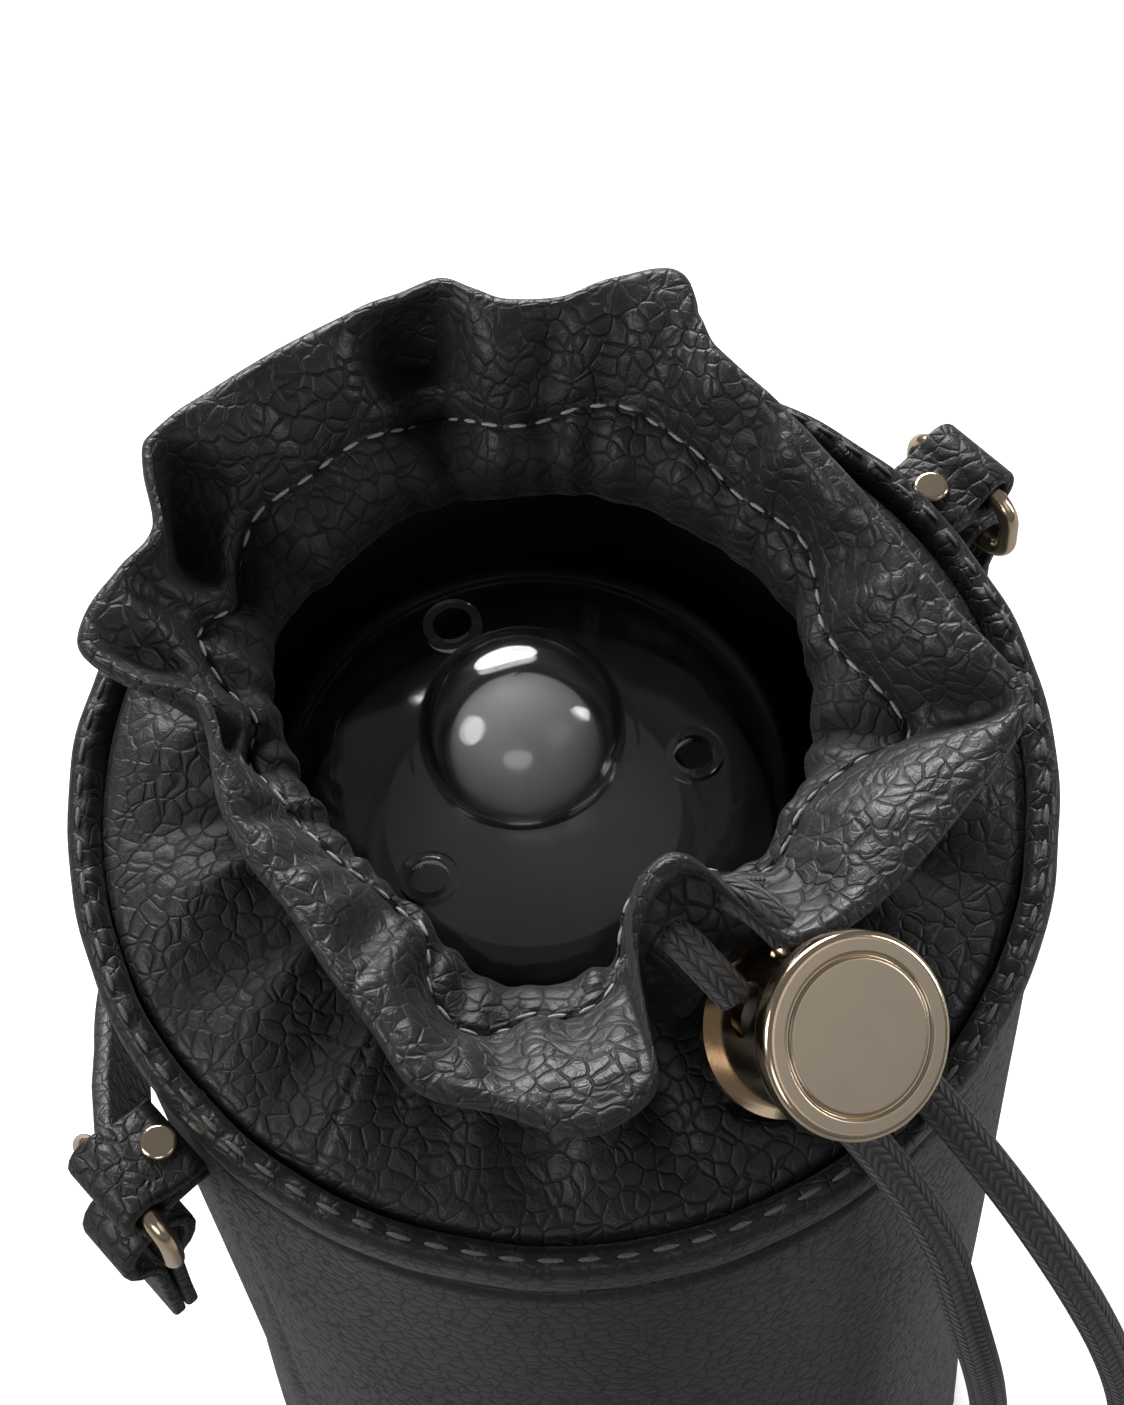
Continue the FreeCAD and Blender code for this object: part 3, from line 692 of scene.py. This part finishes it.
def rim_ring(radius, height):
    """One ring of the rim band: slightly uneven, and pulled down between the stitches on top."""
    uneven = 0.14 * np.sin(11 * rim_turn + 1) + 0.10 * np.sin(19 * rim_turn + 2)
    uneven = uneven + 0.08 * np.sin(31 * rim_turn)
    pull = 0.10 * np.cos(rim_turn * 82) if height > -0.5 else 0
    seam = side_seams(rim_turn, 0.008)
    reach = (radius + 0.5 * uneven - 0.25 * seam) * mm
    return rim_plane(circle(rim_turn, reach, 0)[:, :2], (height + 0.6 * uneven + pull - 0.3 * seam) * mm)


rim = add_piece(
    "rim_binding", quad_mesh(np.array([rim_ring(r, z) for r, z in rim_outline]), wrap_rows=True),
    rim_leather, "pouch",
)
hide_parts("rim_band")
stitch_row("rim_topstitch", rim_ring(45.85, -0.02), rim_pitch, 0.0023, 0.0005, 5, black_thread)

# ======== Gathered collar, ruffle and facing
# The soft top is one outer skin and one facing, turned over at the edge and sewn together
# below it to make the drawcord's channel. Pulled shut, it stands up in lobes and deep folds.
top_leather = leather("top_leather", 0.0020, 1.0, 0.00026, worn=True)
mouth = np.array([0.0, 5.0])
groove_radius = 43.75
# Turned edge: (bearing in degrees, distance from the mouth's centre in mm, its gather's bearing).
edge_keys = [
    (19, 39, 19), (22.4, 41, 22.5), (26.6, 44.7, 26.5), (30, 45, 30), (36, 42.8, 36), (42, 40.2, 42),
    (50, 39.9, 50), (54, 41.3, 54), (58, 43, 58), (63, 42.5, 62), (73, 41.8, 73), (87, 41.8, 87),
    (102, 43.3, 101), (106, 41.5, 105.5), (113, 37.5, 112), (121, 38.7, 121), (129, 40.4, 129),
    (134, 39.7, 134), (138.7, 34.9, 138), (141, 30.3, 142), (146, 28.5, 148), (162, 29, 162),
    (174, 29.5, 174), (186.5, 30, 186), (200, 33, 200), (208, 35.6, 208), (216, 39.8, 216),
    (227, 41.2, 226), (234, 43.2, 233), (239, 43.4, 239), (245.6, 41, 244.5), (247.5, 35.5, 248.5),
    (249.5, 30, 253), (252.5, 27.5, 257.5), (260.5, 25.8, 263), (266, 27, 268), (268, 30.4, 271.5),
    (269.5, 34.5, 275), (271.5, 37, 278), (278, 38.3, 282), (287, 39.7, 288), (298.6, 42, 298),
    (310, 45.7, 309), (314, 46.5, 314), (319, 44, 319.5), (327, 40.2, 327), (338, 37.8, 338),
    (350, 36.7, 350), (365.6, 37.1, 365.6),
]
# Stitch line on the facing: (bearing in degrees, distance in mm).
sewn_keys = [
    (3.6, 30), (23, 32.2), (33, 33), (43.5, 30.7), (52, 29.7), (62, 32.9), (69, 32.5), (78.5, 32.4),
    (89, 32), (100.5, 32.5), (112.6, 28.7), (121, 31.2), (128, 29.5), (138, 24.5), (149, 24.7),
    (164, 23.1), (185, 22.1), (200, 22), (208, 23.8), (213, 29), (221, 31.8), (230.5, 29.8), (237, 30.6),
    (244, 29), (252, 23), (262, 21), (271, 22.5), (280, 27), (288, 28), (297, 28), (307, 31.5),
    (313, 35.5), (319, 33.5), (326, 30.6), (334, 29.2), (350, 31.3),
]
# Drawn neck: (bearing in degrees, distance in mm).
neck_keys = [
    (8, 27), (32, 26.6), (53, 25.8), (70, 26.5), (95, 25.3), (108, 26.2), (123, 24.8), (140, 22.2),
    (164.5, 20.3), (180, 20.3), (195, 21.1), (209, 22.4), (224, 25.6), (244, 25.6), (262, 24.4),
    (285, 26.3), (305, 26.8), (325.5, 27.4), (343, 28.2),
]


def ring_curve(bearings, values, at):
    """A smooth closed curve through values given at rising bearings."""
    b = np.array(bearings, float)
    v = np.array(values, float)
    b = np.concatenate([b[-3:] - 360, b, b[:3] + 360])
    v = np.concatenate([v[-3:], v, v[:3]])
    slope = np.zeros_like(v)
    slope[1:-1] = (v[2:] - v[:-2]) / (b[2:] - b[:-2])[(...,) + (None,) * (v.ndim - 1)]
    k = np.clip(np.searchsorted(b, at, side="right") - 1, 0, len(b) - 2)
    width = (b[k + 1] - b[k])
    s = (at - b[k]) / width
    if v.ndim > 1:
        s, width = s[:, None], width[:, None]
    return (
        v[k] * (2 * s**3 - 3 * s**2 + 1) + slope[k] * width * (s**3 - 2 * s**2 + s)
        + v[k + 1] * (3 * s**2 - 2 * s**3) + slope[k + 1] * width * (s**3 - s**2)
    )


top_columns = 640
gather = np.arange(top_columns) / top_columns * 360 + 5.0


def plan(bearing, distance):
    """Plan positions from bearings in degrees and distances."""
    angle = np.radians(bearing)
    return np.stack([np.cos(angle) * distance, np.sin(angle) * distance], axis=-1)


edge_plan = ring_curve(
    [k[2] for k in edge_keys], np.array([plan(k[0], k[1]) for k in edge_keys]), (gather - 5.6) % 360 + 5.6
)
sewn_line = ring_curve([k[0] for k in sewn_keys], [k[1] for k in sewn_keys], (gather - 3.6) % 360 + 3.6)
neck_line = ring_curve([k[0] for k in neck_keys], [k[1] for k in neck_keys], (gather - 8) % 360 + 8)
out = plan(gather, 1.0)
sewn_plan = out * sewn_line[:, None]
neck_plan = out * neck_line[:, None]
to_edge = edge_plan / np.linalg.norm(edge_plan, axis=1)[:, None]
groove_plan = out * groove_radius
for _ in range(4):
    full = groove_plan + mouth
    full *= groove_radius / np.linalg.norm(full, axis=1)[:, None]
    groove_plan = full - mouth
turns = np.radians(gather)
fine = (
    0.50 * np.sin(27 * turns + 1.0) + 0.42 * np.sin(37 * turns + 2.2) + 0.30 * np.sin(49 * turns + 0.7)
    + 0.34 * np.sin(19 * turns + 4.0)
)
broad = 0.6 * np.sin(7 * turns + 0.5) + 0.5 * np.sin(11 * turns + 2.0)


def bump_at(bearing, width):
    """A smooth rise from 0 to 1 at one bearing."""
    gap = (gather - bearing + 180) % 360 - 180
    return np.exp(-((gap / width) ** 2))


# Deep hollows in the facing between the lobes: (bearing, width, depth in mm).
hollows = [
    (108.5, 8.0, 10.0), (64, 6.2, 10.0), (146, 7.0, 6.0), (133, 3.0, 2.5), (44, 4.0, 2.2),
    (313.5, 4.5, 3.0), (200, 5.0, 2.5), (248, 4.0, 2.0), (281, 4.0, 2.0), (122, 3.0, 1.6), (86, 4.0, 1.2),
    (8, 5.0, 1.5), (338, 5.0, 1.5), (226, 4.0, 1.6), (166, 4.0, 1.5),
]
# Folds that run out over the collar: (bearing, width, rise in mm).
collar_folds = [
    (313, 6.0, 2.2), (325, 6.0, -1.3), (300, 6.0, -1.6), (286, 6.0, 0.7), (238, 5.0, 1.5),
    (229, 5.0, -1.2), (247, 4.0, -1.2), (204, 5.0, 1.2), (196, 5.0, -1.2), (186, 5.0, 1.1),
    (176, 5.0, -1.0), (165, 5.0, 1.0), (216, 5.0, -0.8), (150, 6.0, -1.2), (138, 5.0, 1.2),
    (120, 6.0, -0.9), (103, 6.0, 1.2), (60, 5.0, 1.2), (48, 6.0, -1.0), (29, 6.0, 1.3), (14, 7.0, -0.9),
    (350, 6.0, 0.6),
]
hollow = sum(depth * bump_at(bearing, width) for bearing, width, depth in hollows)
fold = sum(rise * bump_at(bearing, width) for bearing, width, rise in collar_folds)
sewn_plan = sewn_plan + out * (0.15 * hollow)[:, None]
skin_seam = bump_at(203.5, 0.5) + bump_at(23.5, 0.5)
pucker = np.cos(gather / 360 * 2 * math.pi * 66)
neck_wall = 4.8
edge_height = 16.5 + 4.5 * np.exp(-(((gather - 263) / 9) ** 4))
sewn_height = 9.5
top_rows = []
worn_rows = []
# Painted shade for each ring: darkness laid into folds, hollows, the inner neck and under the ruffle.
painted_shade_rows = []


def outward(amount):
    """Steps away from the mouth's centre, one for each column."""
    return out * np.broadcast_to(amount, gather.shape)[:, None]


def add_row(flat, height, worn=0.0, painted_fold_shade=0.0):
    """One more ring of the soft top, with how worn it is and how much painted shade its folds get."""
    top_rows.append(rim_plane((flat + mouth) * mm, height * mm))
    worn_rows.append(worn)
    painted_shade_rows.append(np.clip(np.broadcast_to(painted_fold_shade, gather.shape), 0, 1))


def mix(a, b, share):
    """A value part of the way from one to another."""
    return a + (b - a) * share


foot_plan = neck_plan + out * (neck_wall + 1.6)
outer_plan = neck_plan + out * neck_wall
tight = 0.75 * np.clip(fine, -1.2, 1.2)
edge_round = 1.35
# The collar's lower edge, tucked into the groove inside the rim band.
add_row(groove_plan, -5.2)
add_row(groove_plan * 1.004, -2.6)
add_row(groove_plan * 0.998, -1.5)
# The collar, which swells between the groove and the foot of the neck.
# The collar's painted shade grows darker towards the foot of the neck, under the ruffle.
for share in np.linspace(0.04, 0.94, 16):
    swell = math.sin(math.pi * share) ** 0.8
    level = mix(-1.0, 1.0, share**1.4) + 0.9 * swell + fold * swell * (0.4 + 0.8 * share)
    add_row(
        mix(groove_plan * 0.990, foot_plan, share) - outward(0.25 * tight * share),
        level + tight * share**2 + 0.25 * broad * swell - 0.45 * skin_seam,
        painted_fold_shade=0.15 + 0.45 * share**2 - 0.12 * fold,
    )
# The foot of the neck, drawn tight by the cord.
add_row(mix(foot_plan, outer_plan, 0.35) + outward(0.5 * tight), 1.2 + 0.4 * fold, painted_fold_shade=0.6)
add_row(mix(foot_plan, outer_plan, 0.7) + outward(0.8 * tight), 2.4 + 0.3 * fold, painted_fold_shade=0.55)
# The ruffle's outer skin, which flares from the neck up to the turned edge.
for share in np.linspace(0.0, 0.93, 16):
    arch = math.sin(math.pi * share)
    bulge = 4.5 * np.exp(-(((gather - 264) / 10) ** 4)) * math.sin(math.pi * min(1, share * 1.05)) ** 0.7
    drawn = 0.9 * tight * (1 - share) ** 1.2
    add_row(
        mix(outer_plan, edge_plan - to_edge, share**1.35)
        + outward(drawn + 0.1 * fine + bulge + 0.3 * hollow * arch) - outward(0.35 * skin_seam),
        mix(3.6, edge_height - 1.9, share**0.85) - 0.7 * hollow * arch,
        worn=0.15 * share, painted_fold_shade=0.5 * (1 - share),
    )
# The turned edge.
for angle in (-60, -30, 0, 30, 60, 90):
    swing = math.radians(angle)
    add_row(
        edge_plan + to_edge * (edge_round * math.cos(swing) - edge_round)
        - to_edge * (0.25 * skin_seam)[:, None],
        edge_height - 0.6 + edge_round * math.sin(swing) + 0.12 * fine - 0.25 * skin_seam,
        worn=1.0 - abs(angle - 20) / 130,
    )
# The facing above the stitches, which puffs up and dips into each hollow.
for share in np.linspace(0.07, 0.93, 18):
    puff = math.sin(math.pi * share)
    dip = hollow * puff**1.1
    level = mix(edge_height + 0.5, sewn_height, share**1.25) + 1.5 * puff - 0.9 * dip
    add_row(
        mix(edge_plan - to_edge * edge_round, sewn_plan, share) + outward(0.35 * dip)
        - outward(0.15 * fine * puff),
        level + 0.28 * fine * puff + 0.3 * broad * puff - 0.35 * skin_seam,
        worn=0.35 + 0.4 * max(0, 1 - share * 6), painted_fold_shade=dip / 7,
    )
# Three rings at the stitch line, held down by the thread.
held = 0.10 * pucker
sunk = 0.55 * hollow
in_fold = hollow / 9
add_row(sewn_plan + out * 0.35, sewn_height + 0.15 - sunk + held * 1.5 + 0.2 * fine, painted_fold_shade=in_fold)
top_stitch_row = len(top_rows)
add_row(sewn_plan, sewn_height - 0.30 - sunk + held + 0.2 * fine, painted_fold_shade=in_fold)
add_row(sewn_plan - out * 0.35, sewn_height + 0.05 - sunk + held * 1.5 + 0.2 * fine, painted_fold_shade=in_fold)
# The facing below the stitches, down to the neck.
for share in np.linspace(0.12, 1.0, 12):
    swell = math.sin(math.pi * share) ** 0.9
    level = mix(sewn_height, 5.0, share**0.9) + 0.9 * swell - 0.55 * (1 - share) ** 1.5 * hollow
    add_row(
        mix(sewn_plan, neck_plan, share) - outward(0.9 * swell + 0.5 * tight * share**0.7)
        + outward(0.15 * hollow * (1 - share)),
        level + 0.6 * tight * swell, painted_fold_shade=in_fold + 0.55 * share - 0.25 * tight,
    )
# Back under the drawcord and out to the groove: (distance in from the neck, height).
for inset, level in (
    (0.45 * tight, 3.6), (0.35 * tight - 0.1, 2.4), (0.25 * tight - 0.3, 1.7), (-0.9, 1.25), (-2.0, 0.9),
):
    add_row(neck_plan - outward(inset), level)
add_row(outer_plan, 0.2)
add_row(mix(foot_plan, groove_plan, 0.2), -1.4 + 0.5 * fold)
add_row(mix(foot_plan, groove_plan, 0.6), -3.2 + 0.5 * fold)
add_row(groove_plan * 0.985, -4.8)
top_grid = np.array(top_rows)

# The lock lies against the soft top, which gives way round its barrel.
lock_face_place = np.array([-0.001968, -0.041933, 0.183829])
lock_out = np.array([0.02725, -0.65716, 0.75326])
lock_up = np.array([-0.15591, 0.74153, 0.65256])
lock_side = np.cross(lock_up, lock_out)
# Depths behind the lock's face, and the room each of its parts needs round the axis.
head_back, barrel_back, flange_back = -3.6 * mm, -13.2 * mm, -17.0 * mm
head_room, barrel_room, flange_room = 9.6 * mm, 8.2 * mm, 9.2 * mm
offset = top_grid - lock_face_place
behind = offset @ lock_out
radial = offset - behind[..., None] * lock_out
reach = np.linalg.norm(radial, axis=-1)
room = np.where(behind > head_back, head_room, np.where(behind > barrel_back, barrel_room, flange_room))
inside = (behind < 1.2 * mm) & (behind > flange_back) & (reach < room)
push = np.where(inside, room / np.maximum(reach, 1e-6), 1.0)
top_grid = top_grid + radial * (push - 1)[..., None]

soft_top_mesh = quad_mesh(top_grid, wrap_rows=True)
worn = soft_top_mesh.attributes.new("worn", "FLOAT", "POINT")
worn.data.foreach_set("value", np.repeat(np.array(worn_rows, np.float32), top_columns))
# The rings' painted shade goes on as a point attribute that the top leather reads.
painted_fold_shade = soft_top_mesh.attributes.new("painted_fold_shade", "FLOAT", "POINT")
painted_fold_shade.data.foreach_set("value", np.array(painted_shade_rows, np.float32).ravel())
soft_top = add_piece("gathered_top", soft_top_mesh, top_leather, "pouch")
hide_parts("collar_front_panel", "collar_back_panel", "mouth_facing")
facing_line = top_grid[top_stitch_row] + np.array([0, 0, 0.0002])
stitch_row("facing_stitches", facing_line, 0.0029, 0.0019, 0.00045, 9, grey_thread)

# ======== Drawcord inside the channel
# The same cord runs right round the mouth inside the channel. Both its ends come out at the
# front, pass through the spring lock and go on as the two tails.
lock_cord = lock_face_place - lock_out * 0.0074
beside = lock_side * 0.0036
loop_route = [lock_cord + beside + lock_up * rise for rise in (0.008, 0.012)]
drawn_bearings = np.arange(294, 592, 15.0)
neck_at = ring_curve([k[0] for k in neck_keys], [k[1] for k in neck_keys], (drawn_bearings - 8) % 360 + 8)
drawn_line = plan(drawn_bearings, 1.0) * (neck_at + 2.7)[:, None]
into_channel = [plan(269, 27.8), plan(277, 28.6), plan(285, 29)]
out_of_channel = [plan(234, 28.4), plan(243, 28.6), plan(250, 28.2), plan(257, 27.4)]
drawn_plan = np.concatenate([into_channel, drawn_line, out_of_channel])
channel_height = 3.4
drawn_heights = [15.5, 9.0, 4.4] + [channel_height] * (len(drawn_bearings) + 1) + [4.2, 9.0, 15.5]
loop_route += list(rim_plane((drawn_plan + mouth) * mm, np.array(drawn_heights) * mm))
loop_route += [lock_cord - beside + lock_up * rise for rise in (0.012, 0.008)]
loop_path = nurbs_path("route_round_the_mouth", [tuple(p) for p in loop_route])
drawcord = add_piece(
    "drawcord_in_channel", cord_mesh(loop_path, cord_thickness / 2 - 0.2 * mm),
    cord_material, "pouch",
)
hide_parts("drawcord_loop")

# ======== Spring cord lock
# A two-part spool lock in cast zinc with a pale champagne gold plating: a barrel with a back
# flange, and a sprung button whose polished rim frames a satin face behind one turned groove.
brushing, wear_in, wear_out = node_group(
    "fine_wear", "ShaderNodeTree", {"Vector": "Vector", "Scale": "Float"},
    {"Scratch": "Float", "Cloud": "Float"},
)
scratch = node(
    brushing, "ShaderNodeTexNoise",
    {"Vector": wear_in["Vector"], "Scale": wear_in["Scale"], "Detail": 4.0, "Distortion": 0.6},
)
cloud = noise(brushing, wear_in["Vector"], maths(brushing, "MULTIPLY", wear_in["Scale"], 0.06), 2.0)
feed(brushing, wear_out, {"Scratch": scratch.outputs["Fac"], "Cloud": cloud})


def fine_wear(tree, scale):
    """The shared scratch and cloud masks at one scale."""
    return node(
        tree, "ShaderNodeGroup", {"Scale": scale, "Vector": object_places(tree)}, node_tree=brushing
    ).outputs


def gold(name, colour, roughness):
    """Plated metal with fine wear."""
    material, tree, shader = new_material(name)
    wear = fine_wear(tree, 2600.0)
    feed(tree, shader, {
        "Base Color": colour_mix(tree, wear["Cloud"], tuple(c * 0.86 for c in colour), colour),
        "Roughness": maths(tree, "MULTIPLY_ADD", wear["Scratch"], 0.10, roughness - 0.05),
        "Normal": bumped(tree, wear["Scratch"], 0.25, 0.00002),
        "Metallic": 1.0,
    })
    return material


satin_gold = gold("satin_gold", (0.56, 0.47, 0.36), 0.30)
bright_gold = gold("bright_gold", (0.83, 0.66, 0.47), 0.16)
dress("lock_housing", bright_gold)

button_outline = [
    (3.0, 0.0), (6.5, 0.0), (6.64, 0.0), (6.78, -0.06), (6.86, -0.26), (6.98, -0.32), (7.10, -0.26),
    (7.18, -0.06), (7.32, 0.0), (7.44, 0.0), (8.36, 0.0), (8.50, 0.0), (8.80, -0.08), (9.02, -0.30),
    (9.10, -0.62), (9.10, -1.95), (9.04, -2.25), (8.88, -2.48), (8.60, -2.58), (7.2, -2.6), (6.42, -2.62),
    (6.40, -3.0), (6.40, -5.0), (5.0, -5.05), (2.0, -5.05),
]
button_mesh = turned_mesh([(r * mm, z * mm) for r, z in button_outline], 128)
lock_axes = np.column_stack([lock_side, lock_up, lock_out, lock_face_place])
button_mesh.transform(Matrix([*lock_axes.tolist(), [0, 0, 0, 1]]))
button = add_piece("lock_button_face", button_mesh, satin_gold, "lock_button")
button.data.materials.append(bright_gold)
polished_from = 8.4 * mm
groove_from, groove_to = 6.75 * mm, 7.2 * mm
for face in button.data.polygons:
    middle = np.array(face.center) - lock_face_place
    off_axis = np.linalg.norm(middle - lock_out * (middle @ lock_out))
    if off_axis > polished_from or groove_from < off_axis < groove_to:
        face.material_index = 1
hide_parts("lock_button")

spring_steel, spring_tree, spring_shader = new_material("spring_steel")
spring_wear = fine_wear(spring_tree, 1800.0)
feed(spring_tree, spring_shader, {
    "Base Color": colour_mix(spring_tree, spring_wear["Cloud"], (0.42, 0.43, 0.45), (0.62, 0.63, 0.65)),
    "Roughness": maths(spring_tree, "MULTIPLY_ADD", spring_wear["Scratch"], 0.2, 0.2),
    "Metallic": 1.0,
})
dress("lock_spring", spring_steel)

# ======== Side tabs, rivets and wire rings
# A strip of leather is folded round each ring's bar and riveted beside the rim. The rivets
# and the rings are plated like the lock.
tab_leather = leather("tab_leather", 0.0017, 1.0, 0.00022)


def rounded_outline(width, thickness, ease):
    """A strip's cross-section with softened edges."""
    across, through = width / 2 - ease, thickness / 2 - ease
    corners = (
        (across, through, 0), (-across, through, 90), (-across, -through, 180), (across, -through, 270),
    )
    return [
        (x + ease * math.cos(math.radians(start + step)), y + ease * math.sin(math.radians(start + step)))
        for x, y, start in corners for step in (0, 30, 60, 90)
    ]


def folded_strip(centre_line, sign, thickness, width):
    """A leather strip bent along a line in the X-Z plane, on the right or mirrored to the left."""
    path = [(sign * x, 0.0, z) for x, z in centre_line]
    outline = rounded_outline(width, thickness, min(thickness * 0.32, 0.5 * mm))
    return quad_mesh(swept(path, outline, up=(0, 1, 0)), caps=True)


def bend(x, z, radius, angles):
    """The part of a strip's line that goes round a bar."""
    return [(x + radius * math.cos(math.radians(a)), z + radius * math.sin(math.radians(a))) for a in angles]


ring_bar = 54.4 * mm
tab_root = 47.6 * mm
tab_half_gap = 0.72 * mm
for side, sign in (("right", 1), ("left", -1)):
    tab_low, tab_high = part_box("tab_" + side)
    level = (tab_low.z + tab_high.z) / 2
    layer = [
        (tab_root, tab_half_gap), (tab_root + 2.0 * mm, tab_half_gap + 0.02 * mm),
        (ring_bar - 2.6 * mm, tab_half_gap + 0.3 * mm),
    ]
    line = [(x, level + z) for x, z in layer] + bend(ring_bar, level, 2.15 * mm, range(130, -131, -20))
    line += [(x, level - z) for x, z in reversed(layer)]
    tab = add_piece(
        "tab_loop_" + side, folded_strip(line, sign, 1.36 * mm, 9.0 * mm),
        tab_leather, "pouch",
    )
    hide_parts("tab_" + side)
    dress("tab_rivet_" + side, bright_gold)
    dress("ring_" + side, bright_gold)

# ======== Wrist strap
# A 10 mm strap of thicker leather with painted edges runs behind the pouch. Each end is
# folded round the lower bar of its ring and held by a stud.
strap_leather = leather("strap_leather", 0.0016, 1.0, 0.00016)
eye_radius = 3.55 * mm
leg_half_gap = 0.76 * mm
for side, sign in (("right", 1), ("left", -1)):
    end_low, end_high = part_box("strap_end_" + side)
    eye = end_high.z - 4.3 * mm
    bottom = end_low.z + 0.1 * mm
    leg = [
        (leg_half_gap, bottom), (leg_half_gap, bottom + 4 * mm),
        (leg_half_gap + 0.2 * mm, eye - eye_radius - 1.2 * mm),
    ]
    line = [(ring_bar + x, z) for x, z in leg] + bend(ring_bar, eye, eye_radius, range(-62, 243, 19))
    line += [(ring_bar - x, z) for x, z in reversed(leg)]
    end = add_piece(
        "strap_fold_" + side, folded_strip(line, sign, 1.45 * mm, 7.0 * mm),
        strap_leather, "pouch",
    )
    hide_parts("strap_end_" + side)
    dress("strap_stud_" + side, bright_gold)

# The strap's line in plan: out of each folded end, then an arc round the back of the wall.
behind_wall = 49.5 * mm
strap_run_in = [(54.4, 4.0), (52.0, 9.0), (49.2, 14.6), (46.0, 20.3)]
strap_plan = [(x * mm, y * mm) for x, y in strap_run_in]
strap_plan += [
    (behind_wall * math.cos(a), behind_wall * math.sin(a)) for a in np.radians(np.linspace(28, 152, 60))[1:-1]
]
strap_plan += [(-x * mm, y * mm) for x, y in reversed(strap_run_in)]
right_level, left_level = (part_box("strap_end_" + side)[0].z + 5.5 * mm for side in ("right", "left"))
strap_fall = math.tan(math.radians(30))
strap_path = [
    (x, y, left_level + (right_level - left_level) * (x / (2 * ring_bar) + 0.5) - strap_fall * y)
    for x, y in strap_plan
]
strap_outline = rounded_outline(10.0 * mm, 2.2 * mm, 0.7 * mm)
strap = add_piece(
    "wrist_strap", quad_mesh(swept(strap_path, strap_outline, up=(0, 0.5, 0.866)), caps=True),
    strap_leather, "pouch",
)
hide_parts("strap")

# ======== Bottle, screw ring, teat and clear cap
# A plastic bottle stands in the pouch. Its screw ring holds a silicone teat under a clear
# domed cap with three vents and a bubble at the crown.


def clear_stuff(name, colour, roughness, transmission, ior, mottle):
    """Moulded plastic or silicone, from clear to solid."""
    material, tree, shader = new_material(name)
    wear = fine_wear(tree, 900.0)
    feed(tree, shader, {
        "Base Color": colour_mix(tree, wear["Cloud"], tuple(c * (1 - mottle) for c in colour), colour),
        "Roughness": maths(tree, "MULTIPLY_ADD", wear["Scratch"], 0.06, roughness - 0.03),
        "Transmission Weight": transmission,
        "IOR": ior,
    })
    return material


bottle_finishes = {
    "bottle_body": clear_stuff("bottle_plastic", (0.30, 0.30, 0.31), 0.28, 0.6, 1.49, 0.08),
    "bottle_ring": clear_stuff("ring_plastic", (0.07, 0.07, 0.072), 0.35, 0.0, 1.49, 0.10),
    "bottle_teat": clear_stuff("silicone", (0.44, 0.44, 0.445), 0.45, 0.15, 1.41, 0.06),
    "bottle_cap": clear_stuff("clear_plastic", (0.85, 0.85, 0.86), 0.08, 1.0, 1.46, 0.05),
}
for part_name, finish in bottle_finishes.items():
    dress(part_name, finish)
